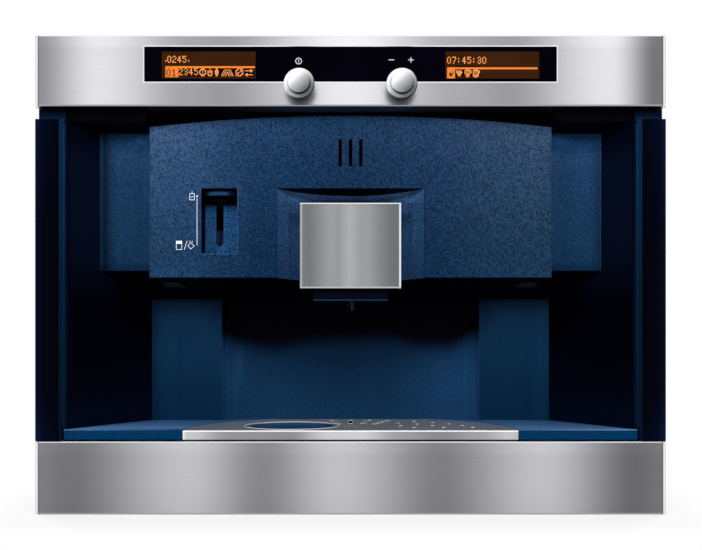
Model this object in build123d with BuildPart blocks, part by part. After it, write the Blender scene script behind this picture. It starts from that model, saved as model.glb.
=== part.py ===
"""Built-in capsule coffee machine for a 560 mm wide, 450 mm high kitchen niche.

Millimetres. X runs left to right, Y from the front into the niche, Z up. The origin is on the
underside, on the centre line, in the plane where the front frame bears on the cabinet.
"""
import math
import os

from build123d import *

os.makedirs("parts", exist_ok=True)

# ------------------------------------------------------------------ driving dimensions
# front and housing
width = 595.0                    # front, side to side
height = 452.0                   # front, bottom to top
front_depth = 22.0               # front face ahead of the bearing plane
side_overlap = 19.5              # front beyond the housing, at each side
body_depth = 299.0               # bearing plane to the rear panel
sheet = 1.0                      # steel housing panels
rail_plate = 2.0                 # front rails
moulding = 2.5                   # wall of the blue mouldings
lie_gap = 0.3                    # between pieces that lie against each other
past = 1.0                       # how far a cut or a joined block runs past a face
run_gap = 0.05                   # radial, between turning or sliding round pieces

# fascias, trims and columns
top_fascia_height = 67.0
bottom_fascia_height = 69.1
fascia_skin = 1.2
fascia_depth = 18.0
fascia_end_radius = 2.4          # rounded left and right ends
fascia_edge_radius = 1.0         # folded long edges
rail_inset = 2.5                 # rails inside the folded fascias
rail_flange_width = 16.0
trim_width = 28.5
trim_lip_radius = 5.0
trim_wall = 2.2
trim_drop = 11.8                 # trim top below the top fascia
column_depth = 12.0
column_width = 25.7
bearing_step = 2.0               # the housing panels end this far ahead of the bearing plane
top_gap = 5.0                    # housing top below the front's top edge

# display window and knobs
window_width = 388.5
window_height = 32.6
window_glass = 2.5
window_corner = 1.0
window_set_back = 0.1
window_above_fascia_bottom = 23.4
display_width = 90.0
display_height = 26.8
display_x = 134.0
board_thickness = 1.6
board_margin = 1.5
knob_x = 47.5
knob_above_fascia_bottom = 16.3
knob_radius = 14.25
knob_neck_radius = 11.4
knob_length = 18.0
knob_cap_radius = 10.8
knob_stem_radius = 3.0
knob_travel = 2.5
knob_gap = 0.7                   # behind the pushed knob
sleeve_radius = 5.0
sleeve_length = 16.0
encoder_side = 14.0
encoder_depth = 10.0

# cup niche
niche_rear_x = 218.2             # side walls at the rear panels
niche_wall_bow = 0.6             # outward bow of the side walls
niche_side_depth = 126.0         # front face to the two side panels of the rear wall
niche_centre_depth = 150.0       # front face to its recessed centre
niche_recess_half = 141.3
wing_depth = 50.0                # front face to the panels beside the brew head
wing_rise = 11.2                 # wing bottom above the head's
soffit_fall = 11.3               # rear wall's top below the head's bottom
ceiling_drop = 11.3              # side bay ceiling below the top fascia

# brew head
head_set_back = 15.0
head_half = 193.5
head_height = 145.7              # at its sides
head_drop = 15.0                 # its upper corners below the top fascia
head_arch = 11.1
head_shell_depth = 40.0
head_edge = 1.0                  # bevel of its front edges
wing_gap = 2.5                   # head to wing, at each side
header_step = 2.0                # side bay header behind the column faces
head_clearance = 1.0             # under the head
scoop_half = 71.4                # finger scoop above and beside the spout
scoop_depth = 37.0
scoop_height = 86.7              # above the head's bottom
vent_count = 3
vent_pitch = 9.85
vent_width = 2.9
vent_length = 25.9
vent_rise = 120.7                # above the head's bottom

# release lever
lever_x = -126.1
lever_recess_width = 34.8
lever_recess_height = 63.0
lever_recess_rise = 86.7         # top of the recess above the head's bottom
lever_recess_depth = 22.0
lever_recess_radius = 2.0
lever_tab_width = 32.4
lever_tab_thickness = 5.0
lever_blade = 6.6
lever_blade_shift = -3.0         # blade and slot from the middle of the recess
lever_travel = 43.0
lever_top_gap = 1.5
lever_blade_trim = 0.5           # blade inside the tab's thickness, above and below

# spout
spout_plate_width = 97.0
spout_plate_height = 82.2
spout_plate_fall = 10.2          # below the head's bottom
spout_plate_skin = 1.2
spout_plate_return = 5.0
spout_proud = 4.8                # plate ahead of the brew head
spout_body_depth = 22.0
body_taper = 9.0
spout_bar_width = 72.0
spout_bar_height = 10.9
spout_nozzle_radius = 6.1
spout_nozzle_bore = 3.4
spout_nozzle_length = 9.2
spout_shoe_width = 28.0
spout_shoe_height = 28.0
spout_shoe_depth = 9.6
spout_tongue_width = 14.0

# drawer
drawer_half = 176.0
drawer_sheet = 1.5
drawer_side_height = 66.0
drawer_rear_gap = 37.0           # behind the drawer, to the rear panel
rail_rise = 39.5                 # above the head's bottom
rail_height = 24.9
rail_width = 13.7
runner_skin = 1.5
runner_set_back = 5.0
runner_rear_gap = 9.0
runner_lip_gap = 4.0
bracket_rise = 8.0               # bracket above its runner
bracket_flange = 18.0
shelf_gap = 1.0                  # round what stands in the drawer
stand_gap = 2.0                  # between neighbours that are fixed down

# what the drawer carries
tank_width = 96.0
tank_depth = 205.0
tank_height = 122.0
tank_wall = 2.5
magazine_radius = 56.0
magazine_from_rear = 97.0        # drawer's rear wall to the axle
magazine_height = 92.0
magazine_plate_rise = 34.2       # above the head's bottom
magazine_flutes = 5
flute_radius = 18.5
flute_sides = 12
axle_radius = 5.0
bin_width = 98.0
bin_height = 108.0
bin_wall = 2.0

# drip tray
tray_lip_height = 9.6
tray_height = 10.4
tray_wall = 2.5
tray_clearance = 1.2
tray_lip_overlap = 3.4           # lip beyond the niche opening, at each side
tray_set_back = 4.0
well_radius = 155.5
well_centre_depth = 12.0         # front face to the centre of the round well
plate_radius = 159.0
plate_skin = 1.0
plate_sink = 0.8                 # plate's top below the tray's
cup_ring_radius = 47.5
cup_ring_x = -59.4
cup_ring_depth = 60.0
rib_pitch = 9.0
rib_groove = 2.6
rib_depth = 0.9
hole_radius = 1.6
hole_sides = 6                   # small holes are pressed as hexagons

# rear
inlet_inset = 73.0               # from the side panel's outer face
inlet_z = 62.0
fixing_hole_radius = 2.25
fixing_hole_y = 10.0
fixing_hole_low = 110.0
fixing_hole_spacing = 230.0

# ------------------------------------------------------------------ derived places
front_y = -front_depth
half_width = width / 2
panel_x = half_width - side_overlap          # outer face of the side panels
inner_x = panel_x - sheet                     # inner face of the side panels
inlet_x = panel_x - inlet_inset
fascia_bottom = height - top_fascia_height
fascia_back_y = front_y + fascia_depth
column_front_y = -column_depth
column_inner_x = half_width - column_width
niche_front_x = column_inner_x - lie_gap - moulding
trim_top = fascia_bottom - trim_drop
ceiling_bottom = fascia_bottom - ceiling_drop
head_side_top = fascia_bottom - head_drop
head_bottom = head_side_top - head_height
wing_bottom = head_bottom + wing_rise
soffit_bottom = head_bottom - soffit_fall
scoop_top = head_bottom + scoop_height
vent_middle = head_bottom + vent_rise
lever_recess_top = head_bottom + lever_recess_rise
spout_plate_bottom = head_bottom - spout_plate_fall
rail_bottom = head_bottom + rail_rise
magazine_plate_z = head_bottom + magazine_plate_rise
drawer_rear_y = body_depth - drawer_rear_gap
magazine_y = drawer_rear_y - magazine_from_rear
side_rear_y = front_y + niche_side_depth
centre_rear_y = front_y + niche_centre_depth
wing_y = front_y + wing_depth
head_front_y = front_y + head_set_back
head_rear_y = head_front_y + head_shell_depth
scoop_radius = (scoop_half**2 + scoop_depth**2) / (2 * scoop_depth)
scoop_centre_y = head_front_y + scoop_depth - scoop_radius
window_z = fascia_bottom + window_above_fascia_bottom + window_height / 2
knob_z = fascia_bottom + knob_above_fascia_bottom
shelf_top = bottom_fascia_height + lie_gap
tray_bottom = shelf_top + lie_gap
tray_top = tray_bottom + tray_height
partition_z = fascia_bottom + lie_gap


def finish(builder, name):
    """Labels a finished piece and writes it as a file of its own."""
    builder.part.label = name
    export_step(builder.part, f"parts/{name}.step")


def finish_pair(builder, name):
    """Writes the right-hand piece and its mirror image on the left."""
    finish(builder, f"right_{name}")
    with BuildPart() as left:
        add(builder.part.mirror(Plane.YZ))
    finish(left, f"left_{name}")


def span(x0, x1, y0, y1, z0, z1, mode=Mode.ADD):
    """A block between two corners, in the part that is being built."""
    with Locations(((x0 + x1) / 2, (y0 + y1) / 2, (z0 + z1) / 2)):
        Box(x1 - x0, y1 - y0, z1 - z0, mode=mode)


def front_plane(y):
    """A drawing plane that faces the user, its y axis upright. A negative extrusion goes to the rear."""
    return Plane(origin=(0, y, 0), x_dir=(1, 0, 0), z_dir=(0, -1, 0))


# ------------------------------------------------------------------ housing panels
# The base pan carries the machine on the niche floor. Its rim turns up inside the side and rear panels.
rim_height = 14.0
with BuildPart() as base_pan:
    span(-panel_x, panel_x, -bearing_step, body_depth, 0, sheet)
    span(-inner_x, inner_x, body_depth - 2 * sheet, body_depth - sheet, sheet, rim_height)
    for side in (-1, 1):
        rim_x = side * (inner_x - sheet / 2)
        span(rim_x - sheet / 2, rim_x + sheet / 2, -bearing_step, body_depth - 2 * sheet, sheet, rim_height)
finish(base_pan, "base_pan")

# Side panels with two fixing holes for the cabinet screws and a row of cooling slots.
panel_top = height - top_gap
slot_count = 7
slot_pitch = 20.0
slot_length = 60.0
slot_width = 4.0
slot_z = 150.0
slots_from_rear = 94.0
slot_middle_y = body_depth - slots_from_rear
with BuildPart() as side_panel:
    span(inner_x, panel_x, -bearing_step, body_depth - sheet, sheet, panel_top)
    with BuildSketch(Plane.YZ.offset(inner_x)):
        with Locations((slot_middle_y, slot_z)):
            with GridLocations(slot_pitch, 0, slot_count, 1):
                Rectangle(slot_width, slot_length)
        with Locations((fixing_hole_y, fixing_hole_low + fixing_hole_spacing / 2)):
            with GridLocations(0, fixing_hole_spacing, 1, 2):
                Circle(fixing_hole_radius)
    extrude(amount=sheet, mode=Mode.SUBTRACT)
finish_pair(side_panel, "side_panel")

with BuildPart() as top_panel:
    span(-panel_x, panel_x, -bearing_step, body_depth, panel_top, panel_top + sheet)
    with BuildSketch(Plane.XY.offset(panel_top)):
        with Locations((0, slot_middle_y)):
            with GridLocations(slot_pitch, 0, slot_count, 1):
                Rectangle(slot_width, slot_length)
    extrude(amount=sheet, mode=Mode.SUBTRACT)
finish(top_panel, "top_panel")

# Rear panel: cooling slots above and the cut-out for the mains inlet below.
inlet_width = 28.0
inlet_height = 22.0
inlet_flange = 4.0
with BuildPart() as rear_panel:
    span(-panel_x, panel_x, body_depth - sheet, body_depth, sheet, panel_top)
    span(
        inlet_x - inlet_width / 2 - lie_gap, inlet_x + inlet_width / 2 + lie_gap,
        body_depth - 2 * sheet, body_depth + sheet,
        inlet_z - inlet_height / 2 - lie_gap, inlet_z + inlet_height / 2 + lie_gap, mode=Mode.SUBTRACT,
    )
    with BuildSketch(front_plane(body_depth - sheet)):
        with Locations((0, panel_top - slot_length)):
            with GridLocations(slot_pitch, 0, 2 * slot_count, 1):
                Rectangle(slot_width, slot_length)
    extrude(amount=-sheet, mode=Mode.SUBTRACT)
finish(rear_panel, "rear_panel")

# Mains inlet: a flanged socket with three blades, let into the rear panel. No lead is fitted.
socket_depth = 17.0
socket_wall = 2.0
blade_width = 2.0
blade_height = 4.0
blade_pitch = 14.0
with BuildPart() as power_inlet:
    span(
        inlet_x - inlet_width / 2, inlet_x + inlet_width / 2,
        body_depth - socket_depth - socket_wall, body_depth,
        inlet_z - inlet_height / 2, inlet_z + inlet_height / 2,
    )
    span(
        inlet_x - inlet_width / 2 - inlet_flange, inlet_x + inlet_width / 2 + inlet_flange,
        body_depth, body_depth + socket_wall,
        inlet_z - inlet_height / 2 - inlet_flange, inlet_z + inlet_height / 2 + inlet_flange,
    )
    span(
        inlet_x - inlet_width / 2 + socket_wall, inlet_x + inlet_width / 2 - socket_wall,
        body_depth - socket_depth, body_depth + 2 * socket_wall,
        inlet_z - inlet_height / 2 + socket_wall, inlet_z + inlet_height / 2 - socket_wall,
        mode=Mode.SUBTRACT,
    )
    for column, row in ((-1, -1), (1, -1), (0, 1)):
        blade_x = inlet_x + column * blade_pitch / 2
        blade_z = inlet_z + row * (inlet_height / 2 - socket_wall - blade_height)
        span(
            blade_x - blade_width / 2, blade_x + blade_width / 2,
            body_depth - socket_depth - socket_wall, body_depth - socket_wall,
            blade_z - blade_height / 2, blade_z + blade_height / 2,
        )
finish(power_inlet, "power_inlet")

# ------------------------------------------------------------------ front frame
# Columns: hollow posts whose rear step bears on the cabinet. They carry the trims.
column_wall = 2.0
with BuildPart() as column:
    with BuildSketch(Plane.XY.offset(bottom_fascia_height + lie_gap)):
        with BuildLine():
            Polyline(
                (column_inner_x, column_front_y), (half_width, column_front_y), (half_width, 0),
                (panel_x + sheet, 0), (panel_x + sheet, -bearing_step - lie_gap),
                (column_inner_x, -bearing_step - lie_gap), close=True,
            )
        make_face()
        with Locations(((column_inner_x + half_width) / 2, (column_front_y - bearing_step - lie_gap) / 2)):
            Rectangle(
                half_width - column_inner_x - 2 * column_wall,
                -bearing_step - lie_gap - column_front_y - 2 * column_wall, mode=Mode.SUBTRACT,
            )
    extrude(amount=fascia_bottom - bottom_fascia_height - 2 * lie_gap)
finish_pair(column, "column")

# Trims: channel mouldings in front of the columns, with a soft inner lip and a notch for the tray lip's end.
trim_inner_x = half_width - trim_width
tray_lip_x = trim_inner_x + tray_lip_overlap
trim_corner_radius = 0.8
notch_gap = 0.6
notch_rise = 1.6
notch_top = tray_top + notch_rise
lip_y = front_y + trim_lip_radius
with BuildPart() as trim:
    with BuildSketch(Plane.XY.offset(bottom_fascia_height + lie_gap)):
        with BuildLine():
            Line((trim_inner_x, column_front_y), (trim_inner_x, lip_y))
            RadiusArc((trim_inner_x, lip_y), (trim_inner_x + trim_lip_radius, front_y), trim_lip_radius)
            Polyline((trim_inner_x + trim_lip_radius, front_y), (half_width - trim_corner_radius, front_y))
            RadiusArc(
                (half_width - trim_corner_radius, front_y), (half_width, front_y + trim_corner_radius),
                trim_corner_radius,
            )
            Polyline(
                (half_width, front_y + trim_corner_radius), (half_width, column_front_y),
                (half_width - trim_wall, column_front_y), (half_width - trim_wall, front_y + trim_wall),
                (trim_inner_x + trim_lip_radius, front_y + trim_wall),
                (trim_inner_x + trim_wall, lip_y), (trim_inner_x + trim_wall, column_front_y),
                (trim_inner_x, column_front_y),
            )
        make_face()
    extrude(amount=trim_top - bottom_fascia_height - lie_gap)
    span(
        trim_inner_x, half_width, front_y + trim_wall, column_front_y, trim_top - trim_wall, trim_top,
    )
    upper_edges = trim.edges().filter_by(GeomType.LINE).group_by(Axis.Z)[-1]
    fillet(upper_edges.group_by(Axis.Y)[0], radius=trim_corner_radius)
    span(trim_inner_x - past, tray_lip_x + notch_gap, front_y - past, 0, 0, notch_top, mode=Mode.SUBTRACT)
finish_pair(trim, "trim")

# Rails: folded plates between the columns that carry the two fascias.
rail_x = half_width - fascia_skin - rail_inset
rail_flange_y = fascia_back_y + rail_flange_width
with BuildPart() as top_rail:
    span(
        -rail_x, rail_x, fascia_back_y, fascia_back_y + rail_plate,
        fascia_bottom + rail_inset, height - rail_inset,
    )
    span(
        -inner_x + lie_gap, inner_x - lie_gap, fascia_back_y + rail_plate, rail_flange_y,
        panel_top - rail_plate - lie_gap, panel_top - lie_gap,
    )
finish(top_rail, "top_rail")

bottom_rail_rear_y = fascia_back_y + rail_plate - lie_gap
with BuildPart() as bottom_rail:
    span(
        -rail_x, rail_x, fascia_back_y, bottom_rail_rear_y,
        rail_inset, bottom_fascia_height - rail_inset,
    )
    span(
        -inner_x + sheet + lie_gap, inner_x - sheet - lie_gap, bottom_rail_rear_y, rail_flange_y,
        sheet + lie_gap, sheet + lie_gap + rail_plate,
    )
finish(bottom_rail, "bottom_rail")


def folded_fascia(low, high):
    """A steel skin with its four edges folded back and mitred corners, in the part that is being built."""
    with BuildSketch(Plane.XY.offset(low)) as plan:
        with Locations((0, (front_y + fascia_back_y) / 2)):
            Rectangle(width, fascia_depth)
        fillet(plan.vertices().group_by(Axis.Y)[0], radius=fascia_end_radius)
    extrude(plan.sketch, amount=high - low)
    with BuildSketch(Plane.YZ.offset(-half_width)) as profile:
        with Locations(((front_y + fascia_back_y) / 2, (low + high) / 2)):
            Rectangle(fascia_depth, high - low)
        fillet(profile.vertices().group_by(Axis.X)[0], radius=fascia_edge_radius)
    extrude(profile.sketch, amount=width, mode=Mode.INTERSECT)
    span(
        -half_width + fascia_skin, half_width - fascia_skin, front_y + fascia_skin, fascia_back_y + past,
        low + fascia_skin, high - fascia_skin, mode=Mode.SUBTRACT,
    )


# Top fascia with the window opening and the two knob holes; bottom fascia plain.
with BuildPart() as top_fascia:
    folded_fascia(fascia_bottom, height)
    with BuildSketch(front_plane(front_y)):
        with Locations((0, window_z)):
            RectangleRounded(
                window_width + 2 * lie_gap, window_height + 2 * lie_gap, radius=window_corner + lie_gap,
            )
    extrude(amount=-2 * fascia_skin, mode=Mode.SUBTRACT)
    with BuildSketch(front_plane(front_y)):
        with Locations((-knob_x, knob_z), (knob_x, knob_z)):
            Circle(sleeve_radius + lie_gap)
    extrude(amount=-2 * fascia_skin, mode=Mode.SUBTRACT)
finish(top_fascia, "top_fascia")

with BuildPart() as bottom_fascia:
    folded_fascia(0, bottom_fascia_height)
finish(bottom_fascia, "bottom_fascia")

# ------------------------------------------------------------------ controls
window_front_y = front_y + window_set_back
window_back_y = window_front_y + window_glass
board_y = fascia_back_y - lie_gap - board_thickness
with BuildPart() as display_window:
    with BuildSketch(front_plane(window_front_y)):
        with Locations((0, window_z)):
            RectangleRounded(window_width, window_height, radius=window_corner)
    extrude(amount=-window_glass)
finish(display_window, "display_window")

display_frame = 2.5
display_recess = 0.8
with BuildPart() as display:
    span(
        display_x - display_width / 2, display_x + display_width / 2, window_back_y + lie_gap, board_y,
        window_z - display_height / 2, window_z + display_height / 2,
    )
    with BuildSketch(front_plane(window_back_y + lie_gap)):
        with Locations((display_x, window_z)):
            Rectangle(display_width - 2 * display_frame, display_height - 2 * display_frame)
    extrude(amount=-display_recess, mode=Mode.SUBTRACT)
finish_pair(display, "display")

# Control board on the top rail, with the two push-and-turn encoders.
with BuildPart() as control_board:
    span(
        -window_width / 2, window_width / 2, board_y, board_y + board_thickness,
        knob_z - encoder_side / 2 - board_margin, window_z + window_height / 2 + board_margin,
    )
finish(control_board, "control_board")

encoder_front_y = board_y - encoder_depth
with BuildPart() as knob_encoders:
    for side in (-1, 1):
        span(
            side * knob_x - encoder_side / 2, side * knob_x + encoder_side / 2, encoder_front_y, board_y,
            knob_z - encoder_side / 2, knob_z + encoder_side / 2,
        )
    with BuildSketch(front_plane(encoder_front_y)):
        with Locations((-knob_x, knob_z), (knob_x, knob_z)):
            Circle(sleeve_radius + run_gap)
    extrude(amount=-encoder_depth, mode=Mode.SUBTRACT)
finish(knob_encoders, "knob_encoders")

# Each knob turns in a sleeve, and the sleeve slides in its encoder when the knob is pushed.
knob_rear_y = front_y - knob_travel - knob_gap
knob_front_y = knob_rear_y - knob_length
sleeve_front_y = knob_rear_y + lie_gap
sleeve_rear_y = sleeve_front_y + sleeve_length
stem_rear_y = sleeve_rear_y - past
with BuildPart() as sleeve:
    with BuildSketch(front_plane(sleeve_front_y)):
        with Locations((knob_x, knob_z)):
            Circle(sleeve_radius)
            Circle(knob_stem_radius + run_gap, mode=Mode.SUBTRACT)
    extrude(amount=-sleeve_length)
finish_pair(sleeve, "sleeve")

# Knob: a flat rim on a narrower neck and a raised flat cap, with its stem behind.
rim_set_back = 1.0
waist_set_back = 6.0
rim_y = knob_front_y + rim_set_back
waist_y = knob_front_y + waist_set_back
with BuildPart() as knob:
    with BuildSketch(Plane(origin=(knob_x, 0, knob_z), x_dir=(1, 0, 0), z_dir=(0, 0, 1))):
        with BuildLine():
            Polyline(
                (0, knob_front_y), (0, stem_rear_y), (knob_stem_radius, stem_rear_y),
                (knob_stem_radius, knob_rear_y), (knob_neck_radius, knob_rear_y),
                (knob_neck_radius, waist_y), (knob_radius, waist_y),
                (knob_radius, rim_y), (knob_cap_radius, rim_y),
                (knob_cap_radius, knob_front_y), (0, knob_front_y),
            )
        make_face()
    revolve(axis=Axis((knob_x, 0, knob_z), (0, 1, 0)))
finish_pair(knob, "knob")

# ------------------------------------------------------------------ cup niche
niche_front_y = column_front_y + lie_gap


def wall_x(y, inset):
    """Distance of a niche side wall from the centre line at the depth y, moved inwards by inset."""
    t = (y - niche_front_y) / (side_rear_y - niche_front_y)
    return niche_front_x + (niche_rear_x - niche_front_x) * t + 4 * niche_wall_bow * t * (1 - t) - inset


def wall_points(inset, y0, y1):
    """Start, middle and end of the bowed line of a niche side wall between two depths."""
    return [(wall_x(y, inset), y) for y in (y0, (y0 + y1) / 2, y1)]


def wall_arc(inset):
    """The whole bowed line of a niche side wall, in the line that is being built."""
    return ThreePointArc(*wall_points(inset, niche_front_y, side_rear_y))


soffit_slope = (soffit_bottom - wing_bottom) / (side_rear_y - wing_y)

# Side walls: bowed mouldings from the columns to the rear wall, cut off along the sloping soffit.
with BuildPart() as liner:
    with BuildSketch(Plane.XY.offset(shelf_top + lie_gap)):
        with BuildLine():
            inner = wall_arc(0)
            outer = wall_arc(-moulding)
            Line(inner @ 0, outer @ 0)
            Line(inner @ 1, outer @ 1)
        make_face()
    extrude(amount=ceiling_bottom - shelf_top - 2 * lie_gap)
    with BuildSketch(Plane.YZ.offset(niche_rear_x - moulding)):
        with BuildLine():
            Polyline(
                (wing_y, ceiling_bottom + past), (wing_y, wing_bottom - lie_gap),
                (side_rear_y + past, soffit_bottom + past * soffit_slope - lie_gap),
                (side_rear_y + past, ceiling_bottom + past), close=True,
            )
        make_face()
    extrude(amount=half_width, mode=Mode.SUBTRACT)
finish_pair(liner, "niche_wall")

# Wings: one stepped moulding a side, from the header over the side bay down beside the brew head.
wing_inner_x = head_half + wing_gap
header_y = column_front_y + header_step
with BuildPart() as wing:
    with BuildSketch(Plane.YZ.offset(wing_inner_x)):
        with BuildLine():
            Polyline(
                (header_y, fascia_bottom - lie_gap), (header_y, ceiling_bottom), (wing_y, ceiling_bottom),
                (wing_y, wing_bottom), (side_rear_y, soffit_bottom), (side_rear_y, soffit_bottom + moulding),
                (wing_y + moulding, wing_bottom + moulding), (wing_y + moulding, ceiling_bottom + moulding),
                (header_y + moulding, ceiling_bottom + moulding),
                (header_y + moulding, fascia_bottom - lie_gap), close=True,
            )
        make_face()
    extrude(amount=inner_x - lie_gap - wing_inner_x)
    span(
        column_inner_x - lie_gap, half_width, header_y - past, -bearing_step,
        ceiling_bottom - past, fascia_bottom, mode=Mode.SUBTRACT,
    )
    with BuildSketch(Plane.XY.offset(shelf_top)):
        with BuildLine():
            edge = wall_arc(lie_gap)
            Polyline(
                edge @ 1, (niche_rear_x - lie_gap, side_rear_y + past), (half_width, side_rear_y + past),
                (half_width, column_front_y + lie_gap), edge @ 0,
            )
        make_face()
    extrude(amount=ceiling_bottom - shelf_top, mode=Mode.SUBTRACT)
finish_pair(wing, "wing")

# Soffit strip under the drawer, between the wings, and the lid of the recessed centre.
soffit_lip_z = head_bottom - head_clearance
soffit_front_y = wing_y + (soffit_lip_z - moulding - wing_bottom) / soffit_slope
with BuildPart() as niche_soffit:
    with BuildSketch(Plane.YZ.offset(-wing_inner_x + lie_gap)):
        with BuildLine():
            Polyline(
                (soffit_front_y, soffit_lip_z - moulding), (side_rear_y, soffit_bottom),
                (centre_rear_y + moulding, soffit_bottom),
                (centre_rear_y + moulding, soffit_bottom + moulding),
                (side_rear_y, soffit_bottom + moulding), (soffit_front_y, soffit_lip_z), close=True,
            )
        make_face()
    extrude(amount=2 * (wing_inner_x - lie_gap))
finish(niche_soffit, "niche_soffit")

# Rear wall of the cup niche: two side panels and the recessed centre, as one stepped moulding.
with BuildPart() as niche_back:
    with BuildSketch(Plane.XY.offset(shelf_top + lie_gap)):
        with BuildLine():
            Polyline(
                (0, centre_rear_y), (niche_recess_half, centre_rear_y),
                (niche_recess_half, side_rear_y + lie_gap),
                (niche_rear_x + moulding, side_rear_y + lie_gap),
                (niche_rear_x + moulding, side_rear_y + lie_gap + moulding),
                (niche_recess_half + moulding, side_rear_y + lie_gap + moulding),
                (niche_recess_half + moulding, centre_rear_y + moulding),
                (0, centre_rear_y + moulding), close=True,
            )
        make_face()
        mirror(about=Plane.YZ)
    extrude(amount=soffit_bottom - shelf_top - 2 * lie_gap)
finish(niche_back, "niche_back")

# Shelf under the drip tray, screwed between the side panels.
shelf_flange = 20.0
with BuildPart() as tray_shelf:
    span(
        -inner_x + lie_gap, inner_x - lie_gap, fascia_back_y + lie_gap, centre_rear_y + 2 * moulding,
        shelf_top - moulding, shelf_top,
    )
    for side in (-1, 1):
        flange_x = side * (inner_x - lie_gap - moulding / 2)
        span(
            flange_x - moulding / 2, flange_x + moulding / 2, rail_flange_y, centre_rear_y,
            shelf_top - shelf_flange, shelf_top - moulding,
        )
finish(tray_shelf, "tray_shelf")

# Partition over the drawer that keeps steam off the control electronics.
partition_rear_y = body_depth - 2 * sheet
with BuildPart() as partition:
    span(
        -inner_x + lie_gap, inner_x - lie_gap, fascia_back_y + rail_plate + lie_gap, partition_rear_y,
        partition_z, partition_z + sheet,
    )
    span(
        -inner_x + lie_gap, inner_x - lie_gap, partition_rear_y - sheet, partition_rear_y,
        partition_z + sheet, partition_z + rim_height,
    )
finish(partition, "partition")

# ------------------------------------------------------------------ drip tray
well_y = front_y + well_centre_depth
tray_front_y = front_y + tray_set_back
lip_wall = 1.6
lip_corner = 1.5
tray_floor = tray_bottom + tray_wall
well_front_y = tray_front_y + lip_wall
well_rear_y = centre_rear_y - tray_clearance - tray_wall
tray_inner_front_y = column_front_y - past


def tray_outline(inset, mode=Mode.ADD):
    """Plan of the tray inside the niche, in the sketch that is being built."""
    all_round = tray_clearance + inset
    arc = wall_points(all_round, tray_inner_front_y + inset, side_rear_y - all_round)
    recess_x = niche_recess_half - all_round
    with BuildLine() as outline:
        Line((0, tray_inner_front_y + inset), arc[0])
        ThreePointArc(*arc)
        Polyline(
            arc[2], (recess_x, side_rear_y - all_round), (recess_x, centre_rear_y - all_round),
            (0, centre_rear_y - all_round), (0, tray_inner_front_y + inset),
        )
    half_plan = make_face(outline.edges(), mode=Mode.PRIVATE)
    add(half_plan + half_plan.mirror(Plane.YZ), mode=mode)


cup_ring_y = front_y + cup_ring_depth
plate_rest_gap = 0.1
plate_z = tray_top - plate_sink - plate_skin
with BuildPart() as drip_tray:
    with BuildSketch(Plane.XY.offset(tray_bottom)):
        tray_outline(0)
    extrude(amount=tray_height)
    # front lip, wider than the niche opening
    span(
        -tray_lip_x, tray_lip_x, tray_front_y, column_front_y - lie_gap,
        tray_top - tray_lip_height, tray_top,
    )
    fillet(drip_tray.edges().filter_by(Axis.Z).group_by(Axis.Y)[0], radius=lip_corner)
    # round well under the cup plate
    with BuildSketch(Plane.XY.offset(tray_floor)):
        with Locations((0, well_y)):
            Circle(well_radius)
        with Locations((0, (well_front_y + well_rear_y) / 2)):
            Rectangle(2 * well_radius, well_rear_y - well_front_y, mode=Mode.INTERSECT)
    extrude(amount=tray_height, mode=Mode.SUBTRACT)
    # pockets under the two ribbed decks
    with BuildSketch(Plane.XY.offset(tray_bottom)):
        tray_outline(tray_wall)
        with Locations((0, well_y)):
            Circle(plate_radius + tray_wall, mode=Mode.SUBTRACT)
        with Locations((0, centre_rear_y)):
            Rectangle(
                2 * niche_recess_half + 4 * tray_wall, 2 * (centre_rear_y - well_y), mode=Mode.SUBTRACT,
            )
    extrude(amount=tray_height - tray_wall - rib_depth, mode=Mode.SUBTRACT)
    # rebate for the cup plate, open to the front and the rear
    with BuildSketch(Plane.XY.offset(plate_z - plate_rest_gap)):
        with Locations((0, well_y)):
            Circle(plate_radius + lie_gap)
        with Locations((0, (tray_front_y + centre_rear_y) / 2)):
            Rectangle(2 * plate_radius + 2 * past, centre_rear_y - tray_front_y + past, mode=Mode.INTERSECT)
    extrude(amount=tray_height, mode=Mode.SUBTRACT)
    # anti-slip grooves on the decks
    with BuildSketch(Plane.XY.offset(tray_top - rib_depth)):
        rib_rows = int((side_rear_y - tray_inner_front_y) / rib_pitch) - 1
        with Locations((0, (side_rear_y + tray_inner_front_y) / 2)):
            with GridLocations(0, rib_pitch, 1, rib_rows):
                Rectangle(2 * niche_front_x, rib_groove)
        tray_outline(tray_wall, mode=Mode.INTERSECT)
        with Locations((0, well_y)):
            Circle(plate_radius + tray_wall, mode=Mode.SUBTRACT)
    extrude(amount=rib_depth, mode=Mode.SUBTRACT)
finish(drip_tray, "drip_tray")

# Cup plate: a D-shaped steel plate with a folded front edge, drain holes and an opening for the cup rest.
plate_front_y = tray_front_y - plate_skin - 2 * plate_rest_gap
plate_rear_y = centre_rear_y - tray_clearance - lie_gap
drain_slot_length = 50.0
slot_ring = 96.0
slot_step = 10.0
slot_fan = 4
cross_slot_length = 14.0
cross_slot_ring = 35.0
first_ring = 67.0
ring_step = 28.0
ring_count = 3
ring_hole_pitch = 24.0
plate_border = 8.0
fold_radius = 0.8


def drain_holes():
    """Centres of the drain holes, on rings about the well's centre to the right of the slots."""
    spots = []
    for ring in range(ring_count):
        radius = first_ring + ring * ring_step
        step = ring_hole_pitch / radius
        number = int(math.radians(90 - (slot_fan - 1) * slot_step) / step)
        for k in range(number + 1):
            x = radius * math.cos(k * step)
            y = well_y + radius * math.sin(k * step)
            if y > plate_front_y + plate_border:
                spots.append((x, y))
    return spots


def drain_slot_places():
    """Place and heading of the drain slots: a fan about the well's centre, to the rear."""
    places = []
    for k in range(slot_fan):
        angle = 90.0 - (k - 1) * slot_step
        x = slot_ring * math.cos(math.radians(angle))
        y = well_y + slot_ring * math.sin(math.radians(angle))
        places.append(Location((x, y, 0), (0, 0, angle)))
    return places


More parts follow.
